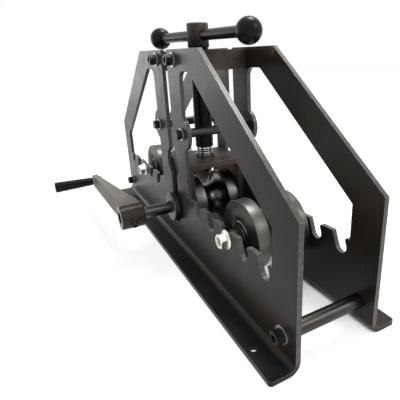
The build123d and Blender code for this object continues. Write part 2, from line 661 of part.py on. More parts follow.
def spindle_nut():
    """The nut that holds the spindle behind the arm's end."""
    rear_y = ARM_BACK_Y + SPINDLE_NUT_HEIGHT
    nut = y_prism(Pos(GRIP_X, GRIP_Z) * hexagon(SPINDLE_NUT_ACROSS), ARM_BACK_Y, rear_y)
    return nut - y_cylinder(SPINDLE_RADIUS + BORE_CLEARANCE, ARM_BACK_Y - 1, rear_y + 1, GRIP_X, GRIP_Z)


def grip():
    """The tapered grip, fatter at its free end, turning on the spindle."""
    bore = SPINDLE_RADIUS + 2 * BORE_CLEARANCE
    recess = SPINDLE_HEAD_RADIUS + RUN_GAP
    profile = [
        (bore, GRIP_INNER_Y),
        (GRIP_INNER_RADIUS, GRIP_INNER_Y),
        (GRIP_OUTER_RADIUS, GRIP_OUTER_Y + GRIP_EDGE),
        (GRIP_OUTER_RADIUS - GRIP_EDGE / 3, GRIP_OUTER_Y + GRIP_EDGE / 3),
        (GRIP_OUTER_RADIUS - GRIP_EDGE, GRIP_OUTER_Y),
        (recess, GRIP_OUTER_Y),
        (recess, GRIP_OUTER_Y + GRIP_RECESS),
        (bore, GRIP_OUTER_Y + GRIP_RECESS),
    ]
    return turned_y(profile, GRIP_X, GRIP_Z)


# ---- press screw ----
def bar_axis(along=0.0):
    """A frame on the cross bar's axis, with Z along the bar."""
    angle = radians(BAR_ANGLE)
    place = (along * cos(angle), along * sin(angle), BAR_Z)
    return Plane(place, x_dir=(0, 0, 1), z_dir=(cos(angle), sin(angle), 0))


def press_screw():
    """The screw: drilled head, threaded body, neck through the yoke and stud for the nut."""
    profile = [
        (0, STUD_END_Z),
        (STUD_RADIUS - DIE_CHAMFER, STUD_END_Z),
        (STUD_RADIUS, STUD_END_Z + DIE_CHAMFER),
        (STUD_RADIUS, STUD_WASHER_Z + STUD_WASHER_THICKNESS),
        (NECK_RADIUS, STUD_WASHER_Z + STUD_WASHER_THICKNESS),
        (NECK_RADIUS, SCREW_SHOULDER_Z),
        (SCREW_RADIUS - DIE_CHAMFER, SCREW_SHOULDER_Z),
        (SCREW_RADIUS, SCREW_SHOULDER_Z + DIE_CHAMFER),
        (SCREW_RADIUS, SCREW_HEAD_Z),
        (SCREW_HEAD_RADIUS, SCREW_HEAD_Z),
        (SCREW_HEAD_RADIUS, SCREW_TOP_Z - HEAD_CHAMFER),
        (SCREW_HEAD_RADIUS - HEAD_CHAMFER, SCREW_TOP_Z),
        (0, SCREW_TOP_Z),
    ]
    return turned_z(profile) - bar_axis() * Cylinder(BAR_RADIUS + BORE_CLEARANCE, 4 * SCREW_HEAD_RADIUS)


def stud_nut():
    """The nut under the yoke's top that lifts the yoke when the screw is backed off."""
    nut = extrude(Pos(0, 0, STUD_NUT_Z) * hexagon(STUD_NUT_ACROSS), STUD_NUT_HEIGHT)
    return nut - z_cylinder(STUD_RADIUS + BORE_CLEARANCE, STUD_NUT_Z - 1, STUD_WASHER_Z + 1)


def thrust_balls():
    """The balls of the thrust bearing."""
    spots = PolarLocations(THRUST_PITCH_RADIUS, THRUST_BALL_COUNT)
    return group([Pos(0, 0, THRUST_BALL_Z) * spot * Sphere(THRUST_BALL_RADIUS) for spot in spots])


def thrust_cage():
    """The flat cage that spaces the balls."""
    low, high = THRUST_BALL_Z - CAGE_THICKNESS / 2, THRUST_BALL_Z + CAGE_THICKNESS / 2
    cage = z_ring(NECK_RADIUS + RUN_GAP / 2, THRUST_RACE_RADIUS - CAGE_INSET, low, high)
    pocket = Cylinder(THRUST_BALL_RADIUS + BORE_CLEARANCE, 2 * CAGE_THICKNESS)
    for spot in PolarLocations(THRUST_PITCH_RADIUS, THRUST_BALL_COUNT):
        cage -= Pos(0, 0, THRUST_BALL_Z) * spot * pocket
    return cage


def tommy_bar():
    """The cross bar, with a thinner stub in each ball."""
    left, right = BALL_FLAT - BAR_LEFT, BAR_RIGHT - BALL_FLAT
    bar = Pos(0, 0, (left + right) / 2) * Cylinder(BAR_RADIUS, right - left)
    stub_length = right - left + 2 * BAR_STUB_LENGTH
    bar += Pos(0, 0, (left + right) / 2) * Cylinder(BAR_STUB_RADIUS, stub_length)
    return bar_axis() * bar


def bar_ball(along):
    """A ball knob with a spot face and a blind bore for the bar's stub."""
    inwards = -1 if along > 0 else 1
    beyond = Box(2 * BALL_RADIUS, 2 * BALL_RADIUS, BALL_RADIUS)
    ball = Sphere(BALL_RADIUS) - Pos(0, 0, inwards * (BALL_FLAT + BALL_RADIUS / 2)) * beyond
    depth = BAR_STUB_LENGTH + RUN_GAP
    bore = Cylinder(BAR_STUB_RADIUS + BORE_CLEARANCE, depth)
    ball -= Pos(0, 0, inwards * (BALL_FLAT - depth / 2)) * bore
    return bar_axis(along) * ball


# ---- idle dies ----
def idle_die(x):
    """A free die with a bearing seat in each end."""
    die = die_blank(DIE_CORE_RADIUS)
    seat_y = DIE_WIDTH / 2 - BEARING_WIDTH
    for seat in both_sides(y_cylinder(BEARING_RADIUS + BORE_CLEARANCE, -DIE_WIDTH / 2 - 1, -seat_y)):
        die -= seat
    return Pos(x, 0, IDLE_DIE_Z) * die


def race_groove():
    """The balls' track in the front bearing's rings."""
    track = Circle(BEARING_BALL_RADIUS + BORE_CLEARANCE)
    return revolve(Pos(BEARING_PITCH_RADIUS, -DIE_WIDTH / 2 + BEARING_WIDTH / 2) * track, Axis.Y)


def bearing_rings(inner, outer, x):
    """One ring of each of a die's two bearings."""
    ring = y_ring(inner, outer, -DIE_WIDTH / 2, BEARING_WIDTH - DIE_WIDTH / 2) - race_groove()
    return group([Pos(x, 0, IDLE_DIE_Z) * one for one in both_sides(ring)])


def bearing_balls(x):
    """The balls of a die's two bearings."""
    middle = -DIE_WIDTH / 2 + BEARING_WIDTH / 2
    balls = []
    for k in range(BEARING_BALL_COUNT):
        angle = radians(360 * k / BEARING_BALL_COUNT)
        place = (BEARING_PITCH_RADIUS * cos(angle), middle, BEARING_PITCH_RADIUS * sin(angle))
        balls += both_sides(Pos(*place) * Sphere(BEARING_BALL_RADIUS))
    return group([Pos(x, 0, IDLE_DIE_Z) * ball for ball in balls])


def bearing_shields(x):
    """The dust shields in the outward faces of a die's two bearings."""
    y_low = -DIE_WIDTH / 2 + SHIELD_INSET
    rim = OUTER_RING_INSIDE - BORE_CLEARANCE
    shield = y_ring(INNER_RING_OUTSIDE + SHIELD_GAP, rim, y_low, y_low + SHIELD_THICKNESS)
    return group([Pos(x, 0, IDLE_DIE_Z) * one for one in both_sides(shield)])


def idle_axle(x):
    """A plain axle whose shoulders stand in the notches, with a stud at each end."""
    shoulder = PLATE_OUTER_Y - AXLE_SHOULDER_INSET
    end = PLATE_OUTER_Y + AXLE_STUD_REACH
    half = [
        (AXLE_RADIUS, shoulder),
        (AXLE_STUD_RADIUS, shoulder),
        (AXLE_STUD_RADIUS, end - AXLE_CHAMFER),
        (AXLE_STUD_RADIUS - AXLE_CHAMFER, end),
        (0, end),
    ]
    return turned_y([(r, -y) for r, y in reversed(half)] + half, x, IDLE_DIE_Z)


def axle_spacers(x):
    """The tube between the bearings and the sleeves from each bearing to its side plate."""
    bore = AXLE_RADIUS + BORE_CLEARANCE
    inner_end = DIE_WIDTH / 2 - BEARING_WIDTH
    tube = y_ring(bore, SPACER_RADIUS, -inner_end, inner_end)
    sleeve = y_ring(bore, SPACER_RADIUS, -PLATE_INNER_Y + FACE_GAP, -DIE_WIDTH / 2)
    return group([Pos(x, 0, IDLE_DIE_Z) * one for one in [tube] + both_sides(sleeve)])


def flange_nuts(x):
    """The flanged nut at each end of an axle."""
    face = -PLATE_OUTER_Y - FACE_GAP
    nut = y_prism(hexagon(NUT_ACROSS), face - NUT_HEIGHT, face)
    nut += y_cylinder(NUT_FLANGE_RADIUS, face - NUT_FLANGE_THICKNESS, face)
    nut -= y_cylinder(AXLE_STUD_RADIUS + BORE_CLEARANCE, face - NUT_HEIGHT - 1, face + 1)
    return group([Pos(x, 0, IDLE_DIE_Z) * one for one in both_sides(nut)])


# ---- the nodes ----
def frame_nodes():
    """What stands still."""
    front, rear = side_plates()
    block_bolt = cap_screw(
        BLOCK_SHANK_RADIUS, BLOCK_HEAD_RADIUS, BLOCK_HEAD_HEIGHT, BLOCK_SOCKET_ACROSS, BLOCK_BOLT_REACH
    )
    end_bolt = cap_screw(
        END_SHANK_RADIUS, END_HEAD_RADIUS, END_HEAD_HEIGHT, END_SOCKET_ACROSS, END_BOLT_REACH
    )
    mid_bolt = hex_bolt(MID_SHANK_RADIUS, MID_HEAD_ACROSS, MID_HEAD_HEIGHT, MID_BOLT_REACH)
    block_washer = washer(BLOCK_SHANK_RADIUS, BLOCK_WASHER_RADIUS)
    mid_washer = washer(MID_SHANK_RADIUS, MID_WASHER_RADIUS)
    end_washer = washer(END_SHANK_RADIUS, END_WASHER_RADIUS)
    return {
        "front_side_plate": front,
        "rear_side_plate": rear,
        "nut_block": nut_block(),
        "block_bolts": at_corners(block_bolt, BLOCK_BOLT_X, BLOCK_BOLT_Z),
        "block_washers": at_corners(block_washer, BLOCK_BOLT_X, BLOCK_BOLT_Z),
        "mid_tie_rods": tie_rods(MID_ROD_RADIUS, MID_ROD_X, MID_ROD_Z, MID_SHANK_RADIUS, MID_BOLT_REACH),
        "mid_tie_bolts": at_corners(mid_bolt, MID_ROD_X, MID_ROD_Z),
        "mid_tie_washers": at_corners(mid_washer, MID_ROD_X, MID_ROD_Z),
        "end_tie_rods": tie_rods(END_ROD_RADIUS, END_ROD_X, END_ROD_Z, END_SHANK_RADIUS, END_BOLT_REACH),
        "end_tie_bolts": at_corners(end_bolt, END_ROD_X, END_ROD_Z),
        "end_tie_washers": at_corners(end_washer, END_ROD_X, END_ROD_Z),
    }


def press_nodes():
    """What slides down with the yoke, the screw and its bar."""
    front_cheek, rear_cheek = both_sides(yoke_cheek())
    front_bush, rear_bush = both_sides(guide_bush())
    neck = NECK_RADIUS + BORE_CLEARANCE
    stud = STUD_RADIUS + BORE_CLEARANCE
    lower_race = z_ring(neck, THRUST_RACE_RADIUS, SEAT_TOP_Z, SEAT_TOP_Z + THRUST_RACE_THICKNESS)
    upper_race = z_ring(neck, THRUST_RACE_RADIUS, UPPER_RACE_Z, SCREW_SHOULDER_Z)
    stud_washer = z_ring(stud, STUD_WASHER_RADIUS, STUD_WASHER_Z, STUD_WASHER_Z + STUD_WASHER_THICKNESS)
    return {
        "yoke_top_plate": yoke_plate(),
        "yoke_front_cheek": front_cheek,
        "yoke_rear_cheek": rear_cheek,
        "yoke_welds": group(both_sides(yoke_weld())),
        "front_guide_bush": front_bush,
        "rear_guide_bush": rear_bush,
        "screw_seat": z_ring(neck, SEAT_RADIUS, YOKE_TOP_Z, SEAT_TOP_Z),
        "thrust_lower_race": lower_race,
        "thrust_balls": thrust_balls(),
        "thrust_cage": thrust_cage(),
        "thrust_upper_race": upper_race,
        "press_screw": press_screw(),
        "stud_washer": stud_washer,
        "stud_nut": stud_nut(),
        "tommy_bar": tommy_bar(),
        "left_bar_ball": bar_ball(-BAR_LEFT),
        "right_bar_ball": bar_ball(BAR_RIGHT),
    }


def crank_nodes():
    """What turns with the crank, and the grip."""
    shaft = SHAFT_RADIUS + BORE_CLEARANCE
    hub_ring = y_ring(shaft, HUB_RING_RADIUS, HUB_REAR_Y, HUB_REAR_Y + HUB_RING_WIDTH, 0, SHAFT_Z)
    collar_bore = SPINDLE_RADIUS + BORE_CLEARANCE
    collar = y_ring(collar_bore, COLLAR_RADIUS, ARM_FRONT_Y - COLLAR_THICKNESS, ARM_FRONT_Y, GRIP_X, GRIP_Z)
    return {
        "drive_shaft": drive_shaft(),
        "shaft_key": key_block(0),
        "shaft_clip": shaft_clip(),
        "centre_die": centre_die(),
        "die_thrust_washers": thrust_washers(),
        "hub_ring": hub_ring,
        "crank_arm": crank_arm(),
        "crank_set_screw": set_screw(),
        "grip_spindle": grip_spindle(),
        "spindle_nut": spindle_nut(),
        "grip_collar": collar,
        "crank_grip": grip(),
    }


def idle_nodes(side, x):
    """One idle die with its bearings, axle and nuts."""
    axle_bore = AXLE_RADIUS + BORE_CLEARANCE
    return {
        f"{side}_die": idle_die(x),
        f"{side}_bearing_outer_rings": bearing_rings(OUTER_RING_INSIDE, BEARING_RADIUS, x),
        f"{side}_bearing_shields": bearing_shields(x),
        f"{side}_bearing_inner_rings": bearing_rings(axle_bore, INNER_RING_OUTSIDE, x),
        f"{side}_bearing_balls": bearing_balls(x),
        f"{side}_axle": idle_axle(x),
        f"{side}_axle_spacers": axle_spacers(x),
        f"{side}_flange_nuts": flange_nuts(x),
    }


def main():
    """Build every node and write it."""
    os.makedirs("parts", exist_ok=True)
    nodes = {**frame_nodes(), **press_nodes(), **crank_nodes()}
    nodes.update(idle_nodes("left", -IDLE_DIE_X))
    nodes.update(idle_nodes("right", IDLE_DIE_X))
    for name, shape in nodes.items():
        export_step(shape, f"parts/{name}.step")


main()
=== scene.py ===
from math import cos, pi, radians, sin

import bmesh
import bpy
import numpy as np
from mathutils import Matrix, Vector


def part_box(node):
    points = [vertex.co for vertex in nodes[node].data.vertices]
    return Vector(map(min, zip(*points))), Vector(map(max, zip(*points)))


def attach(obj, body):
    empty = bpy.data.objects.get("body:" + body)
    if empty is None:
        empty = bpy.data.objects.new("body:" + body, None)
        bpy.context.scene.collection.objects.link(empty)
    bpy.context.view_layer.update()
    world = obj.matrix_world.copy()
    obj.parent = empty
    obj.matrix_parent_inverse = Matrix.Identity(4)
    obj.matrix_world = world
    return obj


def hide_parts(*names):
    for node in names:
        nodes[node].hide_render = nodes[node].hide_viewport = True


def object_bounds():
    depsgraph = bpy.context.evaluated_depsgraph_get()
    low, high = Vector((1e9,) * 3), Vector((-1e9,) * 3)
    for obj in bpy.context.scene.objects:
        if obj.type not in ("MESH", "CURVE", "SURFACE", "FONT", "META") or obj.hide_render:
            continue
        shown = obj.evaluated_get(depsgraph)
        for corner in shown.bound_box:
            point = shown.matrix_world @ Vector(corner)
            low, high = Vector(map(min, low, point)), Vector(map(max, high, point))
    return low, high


# A hand-cranked three-roller tube bender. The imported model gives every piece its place; this script gives
# the surfaces their finish, rounds their edges, and makes the dies, screws, nuts, thread, seals and welds again
# with the detail that such pieces have. Everything is in metres.

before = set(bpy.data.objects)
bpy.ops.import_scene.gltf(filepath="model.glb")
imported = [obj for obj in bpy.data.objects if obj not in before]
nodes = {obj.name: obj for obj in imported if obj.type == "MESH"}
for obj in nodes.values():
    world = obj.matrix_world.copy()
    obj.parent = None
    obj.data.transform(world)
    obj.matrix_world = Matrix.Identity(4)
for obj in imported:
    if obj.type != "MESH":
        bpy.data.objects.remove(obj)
cad_box = [list(corner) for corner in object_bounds()]

MM = 0.001
ORIGIN = (0.0, 0.0, 0.0)
Y_AXIS, Z_AXIS = 1, 2

# ---- view ----
CAMERA_PLACE = (0.56754, -0.24804, 0.31809)
CAMERA_AZIMUTH = 61.563
CAMERA_ELEVATION = 18.859
CAMERA_ROLL = -1.976
CAMERA_LENS = 33.65
CAMERA_SENSOR = 36.0
CAMERA_SHIFT = (-0.0916, -0.0522)
CAMERA_NEAR = 0.01


def into_scene(name, data):
    """A new object that holds this data, at the origin."""
    thing = bpy.data.objects.new(name, data)
    bpy.context.scene.collection.objects.link(thing)
    return thing


def add_camera():
    """Looks from beyond the crank's side, down on the machine, turned a little about its own line of sight."""
    azimuth, elevation, roll = (radians(a) for a in (CAMERA_AZIMUTH, CAMERA_ELEVATION, CAMERA_ROLL))
    ahead = np.array([-sin(azimuth) * cos(elevation), cos(azimuth) * cos(elevation), -sin(elevation)])
    level = np.cross(ahead, (0.0, 0.0, 1.0))
    level /= np.linalg.norm(level)
    upright = np.cross(level, ahead)
    right = level * cos(roll) + upright * sin(roll)
    up = upright * cos(roll) - level * sin(roll)
    data = bpy.data.cameras.new("camera")
    data.lens = CAMERA_LENS
    data.sensor_width = CAMERA_SENSOR
    data.shift_x, data.shift_y = CAMERA_SHIFT
    data.clip_start = CAMERA_NEAR
    camera = into_scene("camera", data)
    matrix = np.eye(4)
    matrix[:3, 0], matrix[:3, 1], matrix[:3, 2], matrix[:3, 3] = right, up, -ahead, CAMERA_PLACE
    camera.matrix_world = Matrix(matrix.tolist())
    bpy.context.scene.camera = camera


# ---- tones: one colour, or the darker and the lighter of a mottled pair ----
PAINT = (0.020, 0.0158, 0.0127), (0.034, 0.0275, 0.0228)
PAINT_SPECK = (0.062, 0.054, 0.047)
PAINT_SHEEN = (1.0, 0.94, 0.88, 1.0)
# painted reflection: the front foot's blue-black stands for the dark surroundings it reflects
FOOT_DARK_REFLECTION = (0.021, 0.023, 0.027)
CUT_EDGE = (0.075, 0.074, 0.068), (0.140, 0.138, 0.128)
RUST = (0.24, 0.105, 0.045)
# Tones for the rounded edges: partly rubbed wear, partly a painted highlight along every edge
PLATE_EDGE_WEAR_AND_HIGHLIGHT = (0.42, 0.41, 0.39), (0.78, 0.76, 0.72)
PAINT_EDGE_WEAR_AND_HIGHLIGHT = (0.26, 0.25, 0.235), (0.52, 0.51, 0.48)
SCALE_EDGE_WEAR_AND_HIGHLIGHT = (0.075, 0.058, 0.046), (0.16, 0.13, 0.11)
MILL_SCALE = (0.034, 0.029, 0.026), (0.085, 0.062, 0.046)
MILL_SPECK = (0.12, 0.10, 0.085)
WELD = (0.060, 0.048, 0.042), (0.14, 0.135, 0.14)
OILED_BLACK = (0.012, 0.012, 0.012 * 1.04), (0.026, 0.026, 0.026)
DULL_BLACK = (0.02, 0.02, 0.02 * 1.04), (0.04, 0.04, 0.04)
DIE_FACE = (0.034, 0.029, 0.025), (0.058, 0.050, 0.044)
DIE_GROOVE = (0.050, 0.047, 0.043), (0.095, 0.090, 0.082)
DIE_TREAD = (0.080, 0.079, 0.073), (0.138, 0.137, 0.126)
SCREW_HEAD = (0.050, 0.044, 0.040), (0.085, 0.075, 0.068)
SCREW_BODY = (0.006, 0.006, 0.0055), (0.016, 0.015, 0.014)
CROSS_BAR = (0.034, 0.035, 0.031), (0.070, 0.072, 0.065)
TIE_ROD = (0.036, 0.034, 0.031), (0.078, 0.074, 0.069)
KNOB = (0.006, 0.0065, 0.005), (0.012, 0.013, 0.010)
GRIP = (0.004, 0.004, 0.0035), (0.009, 0.009, 0.008)
SEAL = (0.036, 0.032, 0.028), (0.056, 0.050, 0.044)
ARM_GREY = (0.225, 0.206, 0.188), (0.320, 0.297, 0.276)
ARM_SPECK = (0.42, 0.40, 0.37)
HUB_OILED = (0.029, 0.025, 0.022), (0.048, 0.042, 0.037)
ZINC = (0.66, 0.64, 0.57), (0.84, 0.83, 0.77)
WASHER = (0.26, 0.255, 0.24), (0.40, 0.39, 0.375)
SLEEVE = (0.050, 0.036, 0.031), (0.105, 0.080, 0.070)
AXLE = (0.10, 0.10, 0.095), (0.20, 0.20, 0.19)
BALL = (0.6, 0.6, 0.6), (0.7, 0.7, 0.7)
RACE = (0.52, 0.51, 0.50), (0.72, 0.71, 0.70)
THRUST_RACE = (0.42, 0.41, 0.40), (0.62, 0.61, 0.60)
# painted shade: the thrust balls and cage are dark, standing for the shade in the gap between the bright races
THRUST_BALL_SHADE = (0.06, 0.06, 0.058), (0.10, 0.10, 0.097)
SCREW_SEAT = (0.16, 0.155, 0.15), (0.30, 0.29, 0.28)
GUIDE_BUSH = (0.060, 0.060, 0.058), (0.120, 0.118, 0.112)
SHAFT_BRIGHT = (0.5, 0.49, 0.48), (0.7, 0.69, 0.68)
SHAFT_DARK = (0.07, 0.07, 0.07), (0.15, 0.15, 0.145)
SPINDLE = (0.45, 0.44, 0.43), (0.66, 0.65, 0.63)

# An axle, as what flattens a place along it: 1 keeps that coordinate and 0 drops it.
ALONG_Y = (1, 0, 1)
ALONG_Z = (1, 1, 0)


# ---- finishes ----
MIX_AMOUNT, MIX_COLOURS, MIX_RESULT = 0, (6, 7), 2  # the sockets of a Mix node that mixes colours
RING_DETAIL = 3.0


class Finish:
    """One procedural material. Its patterns read the piece's own coordinates in metres."""

    def __init__(self, name, **fixed):
        self.material = bpy.data.materials.new(name)
        self.material.use_nodes = True
        self.tree = self.material.node_tree
        self.shader = self.tree.nodes["Principled BSDF"]
        coordinates = self.add("ShaderNodeTexCoord")
        self.place = coordinates.outputs["Object"]
        self.normal = coordinates.outputs["Normal"]
        for socket, value in fixed.items():
            self.shader.inputs[socket.replace("_", " ")].default_value = value

    def add(self, kind, **settings):
        node = self.tree.nodes.new(kind)
        for key, value in settings.items():
            setattr(node, key, value)
        return node

    def link(self, source, target):
        self.tree.links.new(source, target)

    def feed(self, socket, source):
        """source into one of the shader's own sockets."""
        self.link(source, self.shader.inputs[socket])

    def axis(self, letter, source=None):
        """One coordinate of the place, or of another vector."""
        split = self.add("ShaderNodeSeparateXYZ")
        self.link(source or self.place, split.inputs[0])
        return split.outputs[letter]

    def stretched(self, scale, turn=ORIGIN):
        """The coordinates turned, then stretched along each axis."""
        turned = self.add("ShaderNodeVectorRotate", rotation_type="EULER_XYZ")
        turned.inputs["Rotation"].default_value = turn
        self.link(self.place, turned.inputs["Vector"])
        mapping = self.add("ShaderNodeMapping")
        mapping.inputs["Scale"].default_value = scale
        self.link(turned.outputs["Vector"], mapping.inputs["Vector"])
        return mapping.outputs["Vector"]

    def cloud(self, scale, detail=4.0, roughness=0.55, source=None):
        """Soft noise from 0 to 1. scale is features a metre."""
        noise = self.add("ShaderNodeTexNoise")
        noise.inputs["Scale"].default_value = scale
        noise.inputs["Detail"].default_value = detail
        noise.inputs["Roughness"].default_value = roughness
        self.link(source or self.place, noise.inputs["Vector"])
        return noise.outputs["Fac"]

    def radius(self, centre, axle):
        """Distance from an axle: the coordinates less the centre, flattened along the axle, and their length."""
        mapping = self.add("ShaderNodeMapping")
        mapping.inputs["Location"].default_value = [-c * a for c, a in zip(centre, axle)]
        mapping.inputs["Scale"].default_value = axle
        self.link(self.place, mapping.inputs["Vector"])
        length = self.add("ShaderNodeVectorMath", operation="LENGTH")
        self.link(mapping.outputs["Vector"], length.inputs[0])
        return length.outputs["Value"]

    def rings(self, centre, axle, scale):
        """Turning marks: one-way noise that runs with the distance from the axle and along it."""
        along = self.add("ShaderNodeVectorMath", operation="DOT_PRODUCT")
        along.inputs[1].default_value = [1.0 - a for a in axle]
        self.link(self.place, along.inputs[0])
        both = self.math("ADD", self.radius(centre, axle), along.outputs["Value"])
        noise = self.add("ShaderNodeTexNoise", noise_dimensions="1D")
        noise.inputs["Scale"].default_value = scale
        noise.inputs["Detail"].default_value = RING_DETAIL
        self.link(both, noise.inputs["W"])
        return noise.outputs["Fac"]

    def math(self, operation, *values):
        """One sum on numbers or sockets."""
        node = self.add("ShaderNodeMath", operation=operation)
        for slot, value in zip(node.inputs, values):
            if isinstance(value, (int, float)):
                slot.default_value = value
            else:
                self.link(value, slot)
        return node.outputs["Value"]

    def spread(self, source, low, high, start=0.3, end=0.7, smooth=False):
        """source between start and end, carried to between low and high."""
        node = self.add("ShaderNodeMapRange", interpolation_type="SMOOTHSTEP" if smooth else "LINEAR")
        for slot, value in zip(("From Min", "From Max", "To Min", "To Max"), (start, end, low, high)):
            node.inputs[slot].default_value = value
        self.link(source, node.inputs["Value"])
        return node.outputs["Result"]

    def rise(self, source, start=0.3, end=0.7, smooth=False):
        """0 where source is below start, 1 where it is beyond end."""
        return self.spread(source, 0.0, 1.0, start, end, smooth)

    def fall(self, source, start, end):
        """1 where source is below start, 0 where it is beyond end."""
        return self.spread(source, 1.0, 0.0, start, end)

    def blend(self, amount, first, second):
        """A colour between two colours, each a value or a socket."""
        node = self.add("ShaderNodeMix", data_type="RGBA")
        self.link(amount, node.inputs[MIX_AMOUNT])
        for slot, value in zip(MIX_COLOURS, (first, second)):
            if isinstance(value, tuple):
                node.inputs[slot].default_value = (*value, 1.0)
            else:
                self.link(value, node.inputs[slot])
        return node.outputs[MIX_RESULT]

    def mottled(self, tones, noise, start=0.3, end=0.7):
        """The darker tone where the noise is low, the lighter where it is high."""
        return self.blend(self.rise(noise, start, end), *tones)

    def specked(self, tone, speck, noise, amount, start, end=0.75):
        """The tone with specks of another, up to that amount, where the noise is high."""
        return self.blend(self.spread(noise, 0.0, amount, start, end), tone, speck)

    def relief(self, height, depth, strength):
        """Fine relief of that depth in metres."""
        bump = self.add("ShaderNodeBump")
        bump.inputs["Strength"].default_value = strength
        bump.inputs["Distance"].default_value = depth
        self.link(height, bump.inputs["Height"])
        self.feed("Normal", bump.outputs["Normal"])


DARK_REFLECTION_FROM = (61.0 * MM, 67.0 * MM)  # out from the middle, where the painted dark reflection turns the paint blue-black
PAINT_CUT_TILT = (0.15, 0.55)  # how far an edge's normal may lean towards Y
PAINT_CUT_ABOVE = (9.0 * MM, 14.0 * MM)
PAINT_CUT_GLOSS = 0.22
RUST_SPOT = (0.127, 0.052, 0.317)
RUST_REACH = 6.0 * MM
RUST_CORE = 0.35 * RUST_REACH
RUST_RAGGED = 4.0 * MM


def powder_coat(name, rust=False):
    """Satin brown-black paint with orange peel. The cut edges, whose normals lie across Y, show paler, thinner
    paint, and the front foot, out beyond the plate's face, is blue-black: a painted dark reflection."""
    finish = Finish(name, Metallic=0.0, IOR=1.25, Coat_Roughness=0.30, Specular_Tint=PAINT_SHEEN)
    tone = finish.mottled(PAINT, finish.cloud(9.0, detail=5.0))
    grain = finish.cloud(520.0, detail=3.0, roughness=0.7)
    tone = finish.specked(tone, PAINT_SPECK, grain, amount=0.55, start=0.50, end=0.78)
    # painted reflection: blue-black on the front foot, out beyond the plate's face
    outward = finish.math("MULTIPLY", finish.axis("Y"), -1.0)
    tone = finish.blend(finish.rise(outward, *DARK_REFLECTION_FROM), tone, FOOT_DARK_REFLECTION)
    cut = finish.fall(finish.math("ABSOLUTE", finish.axis("Y", finish.normal)), *PAINT_CUT_TILT)
    edge_on = finish.math("MULTIPLY", cut, finish.rise(finish.axis("Z"), *PAINT_CUT_ABOVE))
    tone = finish.blend(edge_on, tone, finish.mottled(CUT_EDGE, finish.cloud(160.0)))
    finish.feed("Coat Weight", finish.math("MULTIPLY", edge_on, PAINT_CUT_GLOSS))
    if rust:
        away = finish.add("ShaderNodeVectorMath", operation="DISTANCE")
        away.inputs[1].default_value = RUST_SPOT
        finish.link(finish.place, away.inputs[0])
        ragged = finish.spread(finish.cloud(260.0), -RUST_RAGGED, RUST_RAGGED)
        ragged = finish.math("ADD", away.outputs["Value"], ragged)
        tone = finish.blend(finish.fall(ragged, RUST_CORE, RUST_REACH), tone, RUST)
    finish.feed("Base Color", tone)
    finish.feed("Roughness", finish.spread(finish.cloud(45.0, detail=5.0), 0.28, 0.39))
    finish.relief(finish.cloud(900.0, detail=3.0), depth=0.18 * MM, strength=0.5)
    return finish.material


def rubbed_edge_and_highlight(name, tones):
    """The rounded edges' finish: where a piece's edges are rubbed, the skin on them is thin and paler, and the pale
    tone on every edge is also a painted highlight.
    """
    finish = Finish(name, Metallic=0.5)
    finish.feed("Base Color", finish.mottled(tones, finish.cloud(180.0)))
    finish.feed("Roughness", finish.spread(finish.cloud(90.0), 0.30, 0.45))
    return finish.material


def mill_scale(name):
    """Dark hot-rolled skin, brown in patches, with fine pits."""
    finish = Finish(name, Metallic=0.35)
    patches = finish.cloud(38.0, detail=6.0, roughness=0.62)
    tone = finish.mottled(MILL_SCALE, patches, 0.35, 0.68)
    finish.feed("Base Color", finish.specked(tone, MILL_SPECK, finish.cloud(420.0), amount=0.5, start=0.55))
    finish.feed("Roughness", finish.spread(patches, 0.62, 0.42))
    finish.relief(finish.cloud(600.0, detail=5.0), depth=0.2 * MM, strength=0.5)
    return finish.material


def black_oxide(name, tones=OILED_BLACK):
    """Oiled black hardware, glossy with small dull patches."""
    finish = Finish(name, Metallic=0.0, IOR=1.33)
    finish.feed("Base Color", finish.mottled(tones, finish.cloud(220.0)))
    finish.feed("Roughness", finish.spread(finish.cloud(500.0, detail=3.0), 0.32, 0.46))
    finish.relief(finish.cloud(2500.0, detail=2.0), depth=0.04 * MM, strength=0.4)
    return finish.material


LATHE_MARKS = 2600.0
LATHE_SHADOW = 0.72
DIE_MARKS = 1800.0


def turned_steel(name, centre, tones, axle=ALONG_Y, rough=(0.22, 0.36), metallic=1.0):
    """Steel from the lathe: fine rings in its tone, its gloss and its relief, under a slow cloudiness."""
    finish = Finish(name, Metallic=metallic)
    ring = finish.rings(centre, axle, LATHE_MARKS)
    shadow = tuple(LATHE_SHADOW * c for c in tones[0])
    slow = finish.cloud(60.0, detail=5.0)
    tone = finish.specked(finish.mottled(tones, ring), shadow, slow, amount=0.55, start=0.5)
    finish.feed("Base Color", tone)
    finish.feed("Roughness", finish.spread(ring, *rough))
    finish.relief(ring, depth=0.03 * MM, strength=0.35)
    return finish.material


def die_steel(name, centre):
    """A die's finish: blackened faces, a groove rolled to bare metal, and treads turned bright and worn satin."""
    finish = Finish(name, IOR=1.3)
    ring = finish.rings(centre, ALONG_Y, DIE_MARKS)
    black = finish.mottled(DIE_FACE, finish.cloud(70.0, detail=5.0))
    from_axle = finish.radius(centre, ALONG_Y)
    on_tread = finish.rise(from_axle, DIE_RADIUS - 0.9 * MM, DIE_RADIUS - 0.1 * MM)
    from_middle = finish.math("ABSOLUTE", finish.axis("Y"))
    in_groove = finish.fall(from_middle, GROOVE_RADIUS, GROOVE_RADIUS + 0.6 * MM)
    tone = finish.blend(in_groove, black, finish.mottled(DIE_GROOVE, ring))
    finish.feed("Base Color", finish.blend(on_tread, tone, finish.mottled(DIE_TREAD, ring)))
    bare = finish.math("MAXIMUM", on_tread, in_groove)
    finish.feed("Metallic", finish.spread(bare, 0.25, 1.0, 0.0, 1.0))
    satin = finish.math("MULTIPLY", on_tread, 0.13)
    finish.feed("Roughness", finish.math("ADD", finish.spread(ring, 0.22, 0.29), satin))
    finish.relief(ring, depth=0.03 * MM, strength=0.35)
    return finish.material


